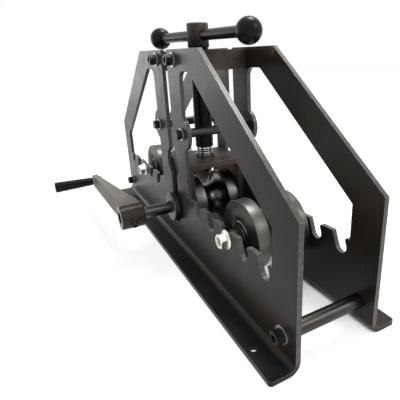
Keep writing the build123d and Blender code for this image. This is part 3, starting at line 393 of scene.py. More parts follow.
def drawn_steel(name, tones, turn):
    """Bar stock with streaks along its length, where the turned coordinates' X runs along the bar."""
    finish = Finish(name, Metallic=1.0)
    streaks = finish.cloud(1.0, roughness=0.6, source=finish.stretched((18.0, 1300.0, 1300.0), turn))
    finish.feed("Base Color", finish.mottled(tones, streaks))
    finish.feed("Roughness", finish.spread(streaks, 0.28, 0.42))
    finish.relief(streaks, depth=0.03 * MM, strength=0.4)
    return finish.material


def screw_steel(name, head_z):
    """The press screw: oiled black below, upright brushed streaks on the head above head_z."""
    finish = Finish(name, IOR=1.35)
    streaks = finish.cloud(1.0, roughness=0.6, source=finish.stretched((900.0, 900.0, 14.0)))
    head = finish.mottled(SCREW_HEAD, streaks, 0.35, 0.65)
    body = finish.mottled(SCREW_BODY, finish.cloud(160.0))
    over = finish.rise(finish.axis("Z"), head_z - 0.5 * MM, head_z)
    finish.feed("Base Color", finish.blend(over, body, head))
    finish.feed("Metallic", finish.spread(over, 0.85, 0.35, 0.0, 1.0))
    satin = finish.math("MULTIPLY", over, 0.24)
    finish.feed("Roughness", finish.math("ADD", finish.spread(streaks, 0.30, 0.42), satin))
    finish.relief(streaks, depth=0.04 * MM, strength=0.4)
    return finish.material


def smooth_plastic(name, tones, rough, grain=0.05 * MM, scale=900.0):
    """Moulded black plastic, seal rubber or a lacquered knob, with a fine grain and slight tonal drift."""
    finish = Finish(name, Metallic=0.0, IOR=1.23)
    finish.feed("Base Color", finish.mottled(tones, finish.cloud(70.0)))
    finish.feed("Roughness", finish.spread(finish.cloud(120.0, detail=5.0), *rough))
    finish.relief(finish.cloud(scale, detail=3.0), depth=grain, strength=0.4)
    return finish.material


def crank_skin(name, shaft):
    """The arm's thin grey paint over rolled skin, and the oiled dark steel of the hub round the shaft."""
    finish = Finish(name, Metallic=0.0, IOR=1.16)
    grey = finish.mottled(ARM_GREY, finish.cloud(30.0, detail=5.0))
    grey = finish.specked(grey, ARM_SPECK, finish.cloud(380.0), amount=0.4, start=0.55)
    oiled = finish.mottled(HUB_OILED, finish.cloud(90.0, detail=5.0))
    from_shaft = finish.radius(shaft, ALONG_Y)
    on_arm = finish.rise(from_shaft, HUB_RADIUS + 0.3 * MM, HUB_RADIUS + 5.0 * MM)
    finish.feed("Base Color", finish.blend(on_arm, oiled, grey))
    finish.feed("Metallic", finish.math("SUBTRACT", 1.0, on_arm))
    satin = finish.math("MULTIPLY", on_arm, 0.20)
    gloss = finish.spread(finish.cloud(80.0, detail=5.0), 0.28, 0.36)
    finish.feed("Roughness", finish.math("ADD", gloss, satin))
    finish.relief(finish.cloud(420.0, detail=5.0), depth=0.1 * MM, strength=0.4)
    return finish.material


def zinc_plate(name):
    """Bright zinc with a slight warm cast and spangled gloss."""
    finish = Finish(name, Metallic=1.0)
    finish.feed("Base Color", finish.mottled(ZINC, finish.cloud(300.0)))
    finish.feed("Roughness", finish.spread(finish.cloud(500.0), 0.34, 0.48))
    finish.relief(finish.cloud(1500.0, detail=3.0), depth=0.04 * MM, strength=0.4)
    return finish.material


def weld_metal(name):
    """Grey weld with a scorched blue-brown cast."""
    finish = Finish(name, Metallic=0.6)
    finish.feed("Base Color", finish.mottled(WELD, finish.cloud(160.0)))
    finish.feed("Roughness", finish.spread(finish.cloud(400.0), 0.35, 0.6))
    finish.relief(finish.cloud(900.0), depth=0.1 * MM, strength=0.5)
    return finish.material


# ---- pieces ----
EDGE_ANGLE = 38.0
JOIN_TRIANGLES = 2e-6
JOIN_POLE = 1e-7
JOIN_SLIVER = 1e-8


def middle(node):
    """The middle of a node's box."""
    low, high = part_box(node)
    return (np.array(low) + np.array(high)) / 2


def round_edges(node, width, edge_wear_and_highlight=None):
    """Joins a node's loose triangles, rounds its sharp edges, and evens the shading: all as live modifiers. The
    rounds can take a paler edge material, partly wear and partly a painted highlight.
    """
    weld = node.modifiers.new("join", "WELD")
    weld.merge_threshold = JOIN_TRIANGLES
    bevel = node.modifiers.new("edges", "BEVEL")
    bevel.width = width
    bevel.segments = 2
    bevel.limit_method = "ANGLE"
    bevel.angle_limit = radians(EDGE_ANGLE)
    bevel.use_clamp_overlap = True
    # the rounds' paler material is worn edge and painted highlight
    if edge_wear_and_highlight:
        node.data.materials.append(edge_wear_and_highlight)
        bevel.material = len(node.data.materials) - 1
    shade = node.modifiers.new("shading", "WEIGHTED_NORMAL")
    shade.weight = 80
    shade.keep_sharp = False


def dress(names, material, width=0.0, edge_wear_and_highlight=None):
    """Gives the named nodes their finish and, where they have sharp edges, a small round on them. The rounds
    take the paler edge material when one is given: partly wear, partly a painted highlight.
    """
    for name in names.split():
        node = nodes[name]
        node.data.materials.clear()
        node.data.materials.append(material)
        if width:
            round_edges(node, width, edge_wear_and_highlight)


def join_points(mesh, apart, shut_poles=False):
    """Makes one of the points that lie no further apart than that, and closes the rows that shrink to a point."""
    work = bmesh.new()
    work.from_mesh(mesh)
    bmesh.ops.remove_doubles(work, verts=work.verts, dist=apart)
    if shut_poles:
        bmesh.ops.dissolve_degenerate(work, dist=JOIN_SLIVER, edges=work.edges)
    work.to_mesh(mesh)
    work.free()


def grid_faces(rows, columns, rows_closed=False):
    """Four-sided faces of a grid of points whose columns close on themselves."""
    last = rows if rows_closed else rows - 1
    row, column = np.meshgrid(np.arange(last), np.arange(columns), indexing="ij")
    after = (row + 1) % rows
    beside = (column + 1) % columns
    corners = [row * columns + column, after * columns + column, after * columns + beside, row * columns + beside]
    return np.stack(corners, axis=-1).reshape(-1, 4)


def make_piece(name, shells, material, body, stands_for=(), sharp=35.0):
    """One mesh from several closed shells, each (points, faces). A shell whose volume, the sum of a . (b x c) over
    its triangles, comes out negative is turned."""
    points, faces, start = [], [], 0
    for shell_points, shell_faces in shells:
        tri = shell_points[shell_faces[:, :3]]
        other = shell_points[shell_faces[:, [0, 2, 3]]]
        volume = sum(np.einsum("ij,ij->", t[:, 0], np.cross(t[:, 1], t[:, 2])) for t in (tri, other))
        points.append(shell_points)
        faces.append((shell_faces[:, ::-1] if volume < 0 else shell_faces) + start)
        start += len(shell_points)
    mesh = bpy.data.meshes.new(name)
    mesh.from_pydata(np.concatenate(points).tolist(), [], np.concatenate(faces).tolist())
    mesh.materials.append(material)
    piece = into_scene(name, mesh)
    join_points(mesh, JOIN_POLE, shut_poles=True)
    mesh.polygons.foreach_set("use_smooth", np.ones(len(mesh.polygons), bool))
    mesh.set_sharp_from_angle(angle=radians(sharp))
    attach(piece, body)
    if stands_for:
        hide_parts(*stands_for)


# ---- profiles and what they sweep ----
PLAIN = 1.0  # a width across flats so large that the piece stays round there


def profile(*parts):
    """Stacks corners and arcs into rows of (radius, reach, width across flats, ridge depth). A part that gives
    only the first of these is round and has no ridges."""
    rows = []
    for part in parts:
        part = np.atleast_2d(np.array(part, float))
        full = np.tile((0.0, 0.0, PLAIN, 0.0), (len(part), 1))
        full[:, :part.shape[1]] = part
        rows.append(full)
    return np.concatenate(rows)


def arc(centre, radius, start, end, steps):
    """Points round a corner: the centre plus the radius times (cos t, sin t), for t from start to end degrees."""
    turn = np.radians(np.linspace(start, end, steps))
    return np.stack([centre[0] + radius * np.cos(turn), centre[1] + radius * np.sin(turn)], axis=-1)


def full_turn(columns):
    """The angles of that many columns round a full turn."""
    return np.linspace(0.0, 2 * pi, columns, endpoint=False)


def carried_round(radius, reach, angle, centre, axle=Y_AXIS):
    """A profile carried round an axle through the centre: radius cos a and radius sin a across it, reach along."""
    upright = Y_AXIS + Z_AXIS - axle  # the one of the two that isn't the axle
    across = radius * np.cos(angle)
    points = np.empty((*across.shape, 3))
    points[..., 0] = centre[0] + across
    points[..., upright] = centre[upright] + radius * np.sin(angle)
    points[..., axle] = centre[axle] + reach
    return points.reshape(-1, 3)


def turned_shell(rows, place, side=1.0, phase=0.0, columns=96, ring=False, ridges=0):
    """A turned piece along Y about place. At angle a a row's radius is the smaller of its own and the hexagon's,
    which is half the width across flats over cos(a from the nearest flat), less the ridge depth times a triangle
    wave of that many ridges. Its reach runs from place towards side."""
    angle = full_turn(columns)
    from_flat = (angle + pi / 6) % (pi / 3) - pi / 6
    wave = np.abs(((angle * ridges / (2 * pi)) % 1.0) * 2 - 1)
    radius = np.minimum(rows[:, :1], rows[:, 2:3] / 2 / np.cos(from_flat)) - rows[:, 3:4] * wave
    points = carried_round(radius, side * rows[:, 1:2], angle + phase, place)
    return points, grid_faces(len(rows), columns, ring)


def corner_radius(across):
    """A hexagon's corners lie at half its width across flats over cos 30 degrees."""
    return across / 2 / cos(pi / 6)


TIP_CHAMFER = 0.8 * MM
HEAD_EDGE = 0.9 * MM
SOCKET_LIP = 0.4 * MM
RIDGE_DEPTH = 0.28 * MM
RIDGES = 36


def socket_screw_rows(head, height, shank, reach, across, depth):
    """A socket cap screw from its tip, under the head, round the ridged head and down into the hexagon socket."""
    lead = 0.3 * MM
    shoulder = height - HEAD_EDGE
    mouth = corner_radius(across) + 0.35 * MM
    return profile((0, -reach), (shank - TIP_CHAMFER, -reach), (shank, TIP_CHAMFER - reach), (shank, 0),
                   (head - lead, 0), (head, lead), (head, 0.7 * MM), (head, 1.1 * MM, PLAIN, RIDGE_DEPTH),
                   (head, shoulder - 0.5 * MM, PLAIN, RIDGE_DEPTH), (head, shoulder - 0.1 * MM),
                   arc((head - HEAD_EDGE, shoulder), HEAD_EDGE, 0, 90, 6),
                   (mouth, height), (across, height - SOCKET_LIP, across), (across, height - depth, across),
                   (0, height - depth - 1.6 * MM))


def hex_screw_rows(across, height, shank, reach):
    """A hexagon head screw from its chamfered tip: a washer face under the head, upright sides and a flat top."""
    face = 0.5 * MM
    face_radius = 0.47 * across
    corner = corner_radius(across)
    steps = 7
    sides = np.linspace((corner, height - 1.15 * MM, across), (corner, height - 0.01 * MM, across), steps)
    return profile((0, -reach), (shank - TIP_CHAMFER, -reach), (shank, TIP_CHAMFER - reach), (shank, 0),
                   (face_radius, 0), (face_radius, face), (corner, face, across), sides,
                   (face_radius * 0.5, height), (0, height))


def flange_nut_rows(flange, thickness, height, across, bore):
    """A flange nut: seat, round flange edge, sloping flange, hexagon with a turned top, threaded bore. From the
    corner, k = 0, in to the flat top, k = 1, it lies below its height by the drop times (1 - k) to the power 1.4.
    The thread is a zigzag."""
    edge = 0.6 * MM
    corner = corner_radius(across)
    drop = 1.5 * MM
    k = np.linspace(0.0, 1.0, 8)
    top = np.stack([corner - (corner - 0.46 * across) * k, height - drop * (1 - k) ** 1.4,
                    np.full(8, across)], axis=-1)
    turns = 8
    pitch = (height - 1.0 * MM) / turns
    turn = np.arange(turns, 0, -1)[:, None]
    thread = np.empty((turns, 2, 2))
    thread[..., 0] = bore + 0.25 * MM, bore
    thread[..., 1] = pitch * (turn - np.array([0.5, 1.0])) + (0.0, 0.1 * MM)
    return profile((bore, 0), (flange - edge, 0), arc((flange - edge, edge), edge, -90, 90, 9),
                   (flange - 1.6 * MM, 1.75 * MM), (corner + 0.4 * MM, thickness - 0.5 * MM),
                   (corner, thickness, across), top, (bore + 0.9 * MM, height), (bore, height - 0.9 * MM),
                   thread.reshape(-1, 2)[:-1])


def ring_rows(inner, outer, low, high, edge):
    """A plain ring, with a quarter circle round each of its four corners."""
    centres = ((outer - edge, high - edge), (inner + edge, high - edge),
               (inner + edge, low + edge), (outer - edge, low + edge))
    return profile(*(arc(centre, edge, 90 * k, 90 * k + 90, 5) for k, centre in enumerate(centres)))


# ---- screws, washers and nuts ----
SCREW_REACH = 28.0 * MM
SOCKET_TURN = 0.4  # radians between one screw's socket and the next one's
WASHER_THICKNESS = 2.0 * MM
WASHER_BORES = {"block_washers": 5.05 * MM, "end_tie_washers": 5.05 * MM, "mid_tie_washers": 4.05 * MM}
NUT_SEAT = 58.05 * MM


def corner_places(node, radius):
    """A fastener's four copies, from the box of all four: each one's place on the middle plane, and its side."""
    low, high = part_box(node)
    x = high.x - radius
    return [((side_x * x, 0.0, (low.z + high.z) / 2), side_y) for side_x in (-1, 1) for side_y in (-1, 1)]


def seated(place, side, seat):
    """The place moved out to a seat on that side."""
    return (place[0], side * seat, place[2])


def fasteners():
    """Cap screws at the nut block and the feet, hexagon screws at the middle tie rods, and all their washers."""
    black = black_oxide("oiled_black_screws")
    for bolts, washers in ("block_bolts", "block_washers"), ("end_tie_bolts", "end_tie_washers"):
        low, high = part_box(bolts)
        head = (high.z - low.z) / 2
        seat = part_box(washers)[1].y
        rows = socket_screw_rows(head, high.y - seat, shank=5.0 * MM, reach=SCREW_REACH, across=8.0 * MM,
                                 depth=5.0 * MM)
        shells = [turned_shell(rows, seated(p, s, seat), s, phase=k * SOCKET_TURN, columns=144, ridges=RIDGES)
                  for k, (p, s) in enumerate(corner_places(bolts, head))]
        make_piece(bolts + "_ridged", shells, black, "frame", [bolts], sharp=28.0)
    low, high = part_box("mid_tie_bolts")
    across = high.z - low.z
    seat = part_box("mid_tie_washers")[1].y
    rows = hex_screw_rows(across, high.y - seat, shank=4.0 * MM, reach=SCREW_REACH)
    places = corner_places("mid_tie_bolts", corner_radius(across))
    shells = [turned_shell(rows, seated(p, s, seat), s, phase=pi / 2) for p, s in places]
    make_piece("mid_tie_bolts_chamfered", shells, black, "frame", ["mid_tie_bolts"], sharp=24.0)
    for washers, bore in WASHER_BORES.items():
        low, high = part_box(washers)
        radius = (high.z - low.z) / 2
        rows = ring_rows(bore, radius, 0.0, WASHER_THICKNESS, 0.35 * MM)
        shells = [turned_shell(rows, seated(p, s, high.y - WASHER_THICKNESS), s, columns=72, ring=True)
                  for p, s in corner_places(washers, radius)]
        centre = (high.x - radius, 0, middle(washers)[2])
        bright = turned_steel(washers + "_bright", centre, WASHER, rough=(0.32, 0.46))
        make_piece(washers + "_rounded", shells, bright, "frame", [washers], sharp=50.0)


def axle_sets():
    """Each idle die's nuts, sealed bearings and sleeves."""
    zinc = zinc_plate("bright_zinc")
    for side in ("left", "right"):
        body = side + "_axle_set"
        centre = middle(side + "_die")
        low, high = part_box(side + "_flange_nuts")
        rows = flange_nut_rows((high.z - low.z) / 2, thickness=3.0 * MM, height=high.y - NUT_SEAT,
                               across=18.0 * MM, bore=6.05 * MM)
        shells = [turned_shell(rows, seated(centre, s, NUT_SEAT), s, phase=0.35 + 0.5 * s, columns=144, ring=True)
                  for s in (-1, 1)]
        make_piece(side + "_nuts_threaded", shells, zinc, body, [side + "_flange_nuts"], sharp=24.0)
        bearings(side, centre)
        sleeve = turned_steel(side + "_sleeve_finish", centre, SLEEVE, rough=(0.30, 0.45), metallic=0.7)
        dress(side + "_axle_spacers", sleeve, 0.3 * MM)
        dress(side + "_axle", turned_steel(side + "_axle_finish", centre, AXLE), 0.15 * MM)
        dress(side + "_bearing_balls", turned_steel(side + "_ball_finish", centre, BALL, rough=(0.08, 0.12)))


# ---- bearings: radii from the axle, and depths in from the bearing's face ----
BEARING_BORE = 8.5 * MM
BEARING_RIM = 20.0 * MM
BEARING_WIDTH = 12.0 * MM
BEARING_EDGE = 0.5 * MM
INNER_RING_RIM = 11.5 * MM
OUTER_RING_BORE = 17.0 * MM
SEAL_INNER = 10.6 * MM
SEAL_OUTER = 18.9 * MM
SEAL_SEAT = 1.3 * MM
SEAL_LIP = 0.55 * MM
SEAL_GAP = 0.15 * MM


def bearings(side, centre):
    """Sealed bearings: a fine bright rim of each ring shows round a black seal with a pressed groove."""
    bright = turned_steel(side + "_race_finish", centre, RACE, rough=(0.18, 0.30))
    rubber = smooth_plastic(side + "_seal_rubber", SEAL, (0.38, 0.55))
    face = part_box(side + "_bearing_outer_rings")[1].y
    edge, width = BEARING_EDGE, BEARING_WIDTH
    outer = profile((BEARING_RIM - edge, 0), (BEARING_RIM, -edge), (BEARING_RIM, edge - width),
                    (BEARING_RIM - edge, -width), (OUTER_RING_BORE, -width), (OUTER_RING_BORE, -SEAL_SEAT),
                    (SEAL_OUTER + SEAL_GAP, -SEAL_SEAT), (SEAL_OUTER + SEAL_GAP, -0.25 * MM),
                    (SEAL_OUTER + 0.35 * MM, 0))
    inner = profile((SEAL_INNER - 0.35 * MM, 0), (SEAL_INNER - SEAL_GAP, -0.25 * MM),
                    (SEAL_INNER - SEAL_GAP, -SEAL_SEAT), (INNER_RING_RIM, -SEAL_SEAT), (INNER_RING_RIM, -width),
                    (BEARING_BORE, -width), (BEARING_BORE, -edge), (BEARING_BORE + edge, 0))
    seal = profile((SEAL_INNER, -0.9 * MM), (SEAL_INNER, -0.45 * MM), (SEAL_INNER + SEAL_LIP, -0.30 * MM),
                   (SEAL_INNER + 2 * SEAL_LIP, -0.40 * MM), (SEAL_INNER + 2.6 * MM, -0.62 * MM),
                   (SEAL_INNER + 4.4 * MM, -0.62 * MM), (SEAL_INNER + 5.4 * MM, -0.36 * MM),
                   (SEAL_OUTER - SEAL_LIP, -0.30 * MM), (SEAL_OUTER, -0.50 * MM), (SEAL_OUTER, -0.9 * MM))
    for name, rows, finish, body, slot, stands_for in (
        ("outer_races", outer, bright, "_idle_die", "bright_steel", "_bearing_outer_rings"),
        ("seals", seal, rubber, "_idle_die", "black_grip", "_bearing_shields"),
        ("inner_races", inner, bright, "_axle_set", "bright_steel", "_bearing_inner_rings"),
    ):
        shells = [turned_shell(rows, seated(centre, s, face), s, columns=120, ring=True) for s in (-1, 1)]
        make_piece(f"{side}_{name}", shells, finish, side + body, [side + stands_for], sharp=40.0)


# ---- press screw ----
PRESS_SCREW_RADIUS = 15.0 * MM
HEAD_OVER_BLOCK = 4.5 * MM
THREAD_PITCH = 3.5 * MM
THREAD_DEPTH = 0.35 * MM
THREAD_CORE = 1.2 * THREAD_DEPTH  # how far the body is drawn in, to stay under the thread
THREAD_STEPS = 10
THREAD_RUNOUT = 1.5 * THREAD_PITCH


def thread_shell(radius, low, high, columns=72):
    """A threaded sleeve on the Z axis, shut at both ends. At height z and angle a the phase is (z / pitch - a / a
    full turn), and the radius is the full radius less the depth times a flattened wave of that phase, which fades
    at both ends."""
    rows = int((high - low) / THREAD_PITCH * THREAD_STEPS)
    height = np.linspace(low, high, rows)[:, None]
    angle = full_turn(columns)
    phase = height / THREAD_PITCH - angle / (2 * pi)
    wave = np.clip(0.5 + 0.9 * np.cos(2 * pi * phase), 0.0, 1.0)
    fade = np.clip(np.minimum(height - low, high - height) / THREAD_RUNOUT, 0.0, 1.0)
    swept = np.pad(radius - THREAD_DEPTH * wave * fade, ((1, 1), (0, 0)))
    reach = np.pad(height, ((1, 1), (0, 0)), mode="edge")
    return carried_round(swept, reach, angle, ORIGIN, Z_AXIS), grid_faces(rows + 2, columns)


def press_screw_piece():
    """The screw with its thread cut in: a joined copy of the node, its plain body drawn in under the thread."""
    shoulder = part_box("thrust_upper_race")[1].z
    head_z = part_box("nut_block")[1].z + HEAD_OVER_BLOCK
    material = screw_steel("oiled_black_screw", head_z)
    mesh = nodes["press_screw"].data.copy()
    join_points(mesh, JOIN_TRIANGLES)
    points = np.empty(len(mesh.vertices) * 3)
    mesh.vertices.foreach_get("co", points)
    points = points.reshape(-1, 3)
    away = np.hypot(points[:, 0], points[:, 1])
    on_body = np.abs(away - PRESS_SCREW_RADIUS) < 0.2 * MM
    on_body &= (points[:, 2] > shoulder) & (points[:, 2] < head_z + 0.1 * MM)
    points[on_body, :2] *= 1 - THREAD_CORE / PRESS_SCREW_RADIUS
    mesh.vertices.foreach_set("co", points.ravel())
    mesh.materials.clear()
    mesh.materials.append(material)
    mesh.set_sharp_from_angle(angle=radians(35))
    core = into_scene("press_screw_core", mesh)
    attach(core, "screw")
    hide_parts("press_screw")
    thread = thread_shell(PRESS_SCREW_RADIUS, shoulder + 1.0 * MM, head_z)
    make_piece("press_screw_thread", [thread], material, "screw", sharp=60.0)


# ---- yoke ----
WELD_RIPPLE = 2.2 * MM
WELD_RIPPLE_DEPTH = 0.07
WELD_SWELL = 410.0  # radians a metre
WELD_SWELL_DEPTH = 0.03
WELD_FILL = 0.98
WELD_WAIST = 0.80
WELD_END = 1.5 * MM
CAGE_BAND_RADIUS = 13.0 * MM
CAGE_BAND_HEIGHT = 1.7 * MM
CAGE_BAND_EDGE = 0.2 * MM


def weld_shell(side, low, high, leg, under, wall, rows=160, columns=16):
    """A fillet bead along X in the corner between a cheek's wall and the plate's underside. Across the bead, at
    angle t, the points lie at (cos t, sin t) times a size and a waist of |cos 2t|, and the last is the corner. The
    size is the leg times a ripple of |sin| along X, a slow swell, and a square root that narrows the ends."""
    along = np.linspace(low, high, rows)
    ripple = 1.0 + WELD_RIPPLE_DEPTH * np.abs(np.sin(pi * along / WELD_RIPPLE))
    ripple += WELD_SWELL_DEPTH * np.sin(along * WELD_SWELL)
    ends = np.clip(np.minimum(along - low, high - along) / WELD_END, 0.02, 1.0) ** 0.5
    size = (leg * WELD_FILL * ripple * ends)[:, None]
    turn = np.linspace(0.0, pi / 2, columns - 1)[None, :]
    reach = WELD_WAIST + (1.0 - WELD_WAIST) * np.abs(np.cos(2 * turn))
    points = np.empty((rows, columns, 3))
    points[:, :, 0] = along[:, None]
    points[:, :-1, 1] = side * (wall - size * reach * np.cos(turn))
    points[:, :-1, 2] = under - size * reach * np.sin(turn)
    points[:, -1, 1] = side * wall
    points[:, -1, 2] = under
    shut = np.concatenate([points[:1].mean(axis=1, keepdims=True).repeat(columns, 1), points,
                           points[-1:].mean(axis=1, keepdims=True).repeat(columns, 1)])
    return shut.reshape(-1, 3), grid_faces(rows + 2, columns)


def band_shell(inner, outer, height, width, columns=72):
    """A ring's rounded section carried round the Z axis at a height."""
    rows = ring_rows(inner, outer, -width / 2, width / 2, CAGE_BAND_EDGE)
    points = carried_round(rows[:, :1], height + rows[:, 1:2], full_turn(columns), ORIGIN, Z_AXIS)
    return points, grid_faces(len(rows), columns, True)


def yoke():
    """Plate, cheeks, welds, bushes and the bright bearing under the screw, whose balls and cage carry painted
    shade.
    """
    scale = mill_scale("mill_scale_skin")
    # the paler rounded edges are partly wear and partly a painted highlight
    edge = rubbed_edge_and_highlight("scale_edges_worn_and_highlit", SCALE_EDGE_WEAR_AND_HIGHLIGHT)
    dress("yoke_top_plate yoke_front_cheek yoke_rear_cheek", scale, 0.7 * MM, edge)
    low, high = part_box("yoke_welds")
    shells = [weld_shell(s, low.x, high.x, high.z - low.z, high.z, high.y) for s in (-1, 1)]
    make_piece("yoke_weld_beads", shells, weld_metal("weld_bead"), "press_yoke", ["yoke_welds"])
    bush = turned_steel("bush_finish", middle("drive_shaft"), GUIDE_BUSH, rough=(0.32, 0.46))
    dress("front_guide_bush rear_guide_bush", bush, 0.6 * MM)
    dress("screw_seat", turned_steel("screw_seat_finish", ORIGIN, SCREW_SEAT, ALONG_Z), 0.5 * MM)
    race = turned_steel("thrust_race_finish", ORIGIN, THRUST_RACE, ALONG_Z, (0.16, 0.28))
    dress("thrust_lower_race thrust_upper_race", race, 0.4 * MM)
    # painted shade: the balls and cage between the races are dark
    dress("thrust_cage thrust_balls", turned_steel("thrust_ball_painted_shade", ORIGIN, THRUST_BALL_SHADE, ALONG_Z))
    low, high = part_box("thrust_balls")
    band = band_shell(high.x + 0.05 * MM, CAGE_BAND_RADIUS, (low.z + high.z) / 2, CAGE_BAND_HEIGHT)
    make_piece("thrust_cage_band", [band], race, "press_yoke", sharp=50.0)
    dress("stud_washer", black_oxide("stud_washer_finish", DULL_BLACK), 0.25 * MM)
    dress("stud_nut", black_oxide("stud_nut_finish", DULL_BLACK), 0.35 * MM)


# ---- plates, screw and bar ----
def plates():
    """The painted side plates, the nut block and the tie rods between them."""
    # the paler rounded edges of the plates and the nut block are partly wear and partly a painted highlight
    edge = rubbed_edge_and_highlight("plate_edges_worn_and_highlit", PLATE_EDGE_WEAR_AND_HIGHLIGHT)
    dress("front_side_plate", powder_coat("front_plate_paint"), 0.6 * MM, edge)
    dress("rear_side_plate", powder_coat("rear_plate_paint", rust=True), 0.6 * MM, edge)
    dress("nut_block", mill_scale("nut_block_skin"), 0.8 * MM, rubbed_edge_and_highlight("block_edges_worn_and_highlit", PAINT_EDGE_WEAR_AND_HIGHLIGHT))
    dress("mid_tie_rods end_tie_rods", drawn_steel("tie_rod_finish", TIE_ROD, (0, 0, pi / 2)), 0.4 * MM)


def screw_and_bar():
    """The threaded screw, the sliding cross bar and its two ball knobs."""
    press_screw_piece()
    bar_angle = np.arctan2(*(middle("right_bar_ball") - middle("left_bar_ball"))[[1, 0]])
    dress("tommy_bar", drawn_steel("cross_bar_finish", CROSS_BAR, (0, 0, -bar_angle)), 0.5 * MM)
    dress("left_bar_ball right_bar_ball", smooth_plastic("ball_knob_lacquer", KNOB, (0.27, 0.37), grain=0.03 * MM))


# ---- dies ----
DIE_RADIUS = 47.0 * MM
DIE_HALF = 38.0 * MM
DIE_EDGE = 1.0 * MM
DIE_BORE = 10.05 * MM
GROOVE_RADIUS = 20.0 * MM
GROOVE_LIP = 0.7 * MM
SEAT_RADIUS = 20.05 * MM
SEAT_BORE = 17.0 * MM
SEAT_END = 26.0 * MM
KEYWAY_HALF = 3.05 * MM
KEYWAY_TOP = 12.55 * MM


def die_profile(bore):
    """A die's closed profile of (radius, reach) points, and which of them are the bore's: one half from the bore's
    middle out along the face, over the rounded corner, the tread and its lip, and down a quarter of the groove's
    circle; then the same half backwards on the other side."""
    half = np.concatenate([bore, arc((DIE_RADIUS - DIE_EDGE, DIE_HALF - DIE_EDGE), DIE_EDGE, 90, 0, 5),
                           arc((DIE_RADIUS - GROOVE_LIP, GROOVE_RADIUS + GROOVE_LIP), GROOVE_LIP, 0, -90, 6),
                           arc((DIE_RADIUS, 0.0), GROOVE_RADIUS, 94.0, 178.0, 26)])
    in_bore = np.arange(len(half)) < len(bore)
    return np.concatenate([half, half[::-1] * (1, -1)]), np.concatenate([in_bore, in_bore[::-1]])


def die_shell(centre, bore, keyway, columns=144):
    """The profile carried round the axle. With a keyway, the bore's radius at angle a is the larger of the bore
    and the slot's, which is the nearer of its side, half the width over |cos a|, and its top, height over sin a."""
    rows, in_bore = die_profile(bore)
    angle = full_turn(columns)
    if keyway:
        mouth = np.arccos(KEYWAY_HALF / bore[0][0])
        corner = np.arctan2(KEYWAY_TOP, KEYWAY_HALF)
        angle = np.unique(np.concatenate([angle, [mouth, corner, pi - corner, pi - mouth]]))
    radius = np.repeat(rows[:, :1], len(angle), axis=1)
    if keyway:
        with np.errstate(divide="ignore"):
            slot = np.minimum(KEYWAY_HALF / np.abs(np.cos(angle)), KEYWAY_TOP / np.sin(angle))
        radius = np.where(in_bore[:, None] & (slot > radius), slot, radius)
    return carried_round(radius, rows[:, 1:2], angle, centre), grid_faces(len(rows), len(angle), True)


def dies():
    """The driven die with its keyway, the idle dies with their bearing seats, and what is on the shaft."""
    plain = [(DIE_BORE, 0.5 * MM), (DIE_BORE, DIE_HALF)]
    seats = [(SEAT_BORE, 0.5 * MM), (SEAT_BORE, SEAT_END), (SEAT_RADIUS, SEAT_END), (SEAT_RADIUS, DIE_HALF)]
    for name, bore, body in (("centre_die", plain, "crank"), ("left_die", seats, "left_idle_die"),
                             ("right_die", seats, "right_idle_die")):
        centre = middle(name)
        shell = die_shell(centre, bore, keyway=bore is plain)
        make_piece(name + "_turned", [shell], die_steel(name + "_steel", centre), body, [name])
    shaft = middle("drive_shaft")
    bright = turned_steel("shaft_bright", shaft, SHAFT_BRIGHT, rough=(0.2, 0.34))
    dress("drive_shaft", turned_steel("shaft_dark", shaft, SHAFT_DARK), 0.4 * MM)
    dress("shaft_key", bright, 0.3 * MM)
    dress("die_thrust_washers", bright, 0.2 * MM)
    dress("hub_ring", bright, 0.4 * MM)
    dress("shaft_clip", black_oxide("clip_finish"), 0.15 * MM)


# ---- crank ----
HUB_RADIUS = 20.0 * MM
HUB_SCREW_TIP = 12.2 * MM
HUB_SCREW_SHANK = 3.9 * MM
HUB_SCREW_CHAMFER = 0.7 * MM
HUB_SCREW_HEAD = 5.8 * MM
HUB_SCREW_SEAT = HUB_RADIUS - 1.2 * MM
HUB_SCREW_TOP = HUB_RADIUS + 2.8 * MM
HUB_SCREW_SOCKET = 5.0 * MM


def hub_screw_shell():
    """The hub's screw, with a low socket head. Its rows run along the line from the shaft out through the hole: a
    turned piece whose local X, Y and Z go to the line's side, the line itself and the shaft's direction."""
    shaft, hole = middle("drive_shaft"), middle("crank_set_screw")
    outward = hole - shaft
    outward[1] = 0.0
    outward /= np.linalg.norm(outward)
    along_shaft = np.array((0.0, 1.0, 0.0))
    socket, top = HUB_SCREW_SOCKET, HUB_SCREW_TOP
    rows = profile((0, HUB_SCREW_TIP), (HUB_SCREW_SHANK - HUB_SCREW_CHAMFER, HUB_SCREW_TIP),
                   (HUB_SCREW_SHANK, HUB_SCREW_TIP + HUB_SCREW_CHAMFER), (HUB_SCREW_SHANK, HUB_SCREW_SEAT),
                   (HUB_SCREW_HEAD, HUB_SCREW_SEAT),
                   arc((HUB_SCREW_HEAD - HEAD_EDGE, top - HEAD_EDGE), HEAD_EDGE, 0, 90, 6),
                   (socket * 0.64, top), (socket, top - SOCKET_LIP, socket), (socket, top - 3.0 * MM, socket),
                   (0, top - 4.0 * MM))
    points, faces = turned_shell(rows, ORIGIN)
    place = np.array((shaft[0], hole[1], shaft[2]))
    return place + points @ np.array([np.cross(outward, along_shaft), outward, along_shaft]), faces


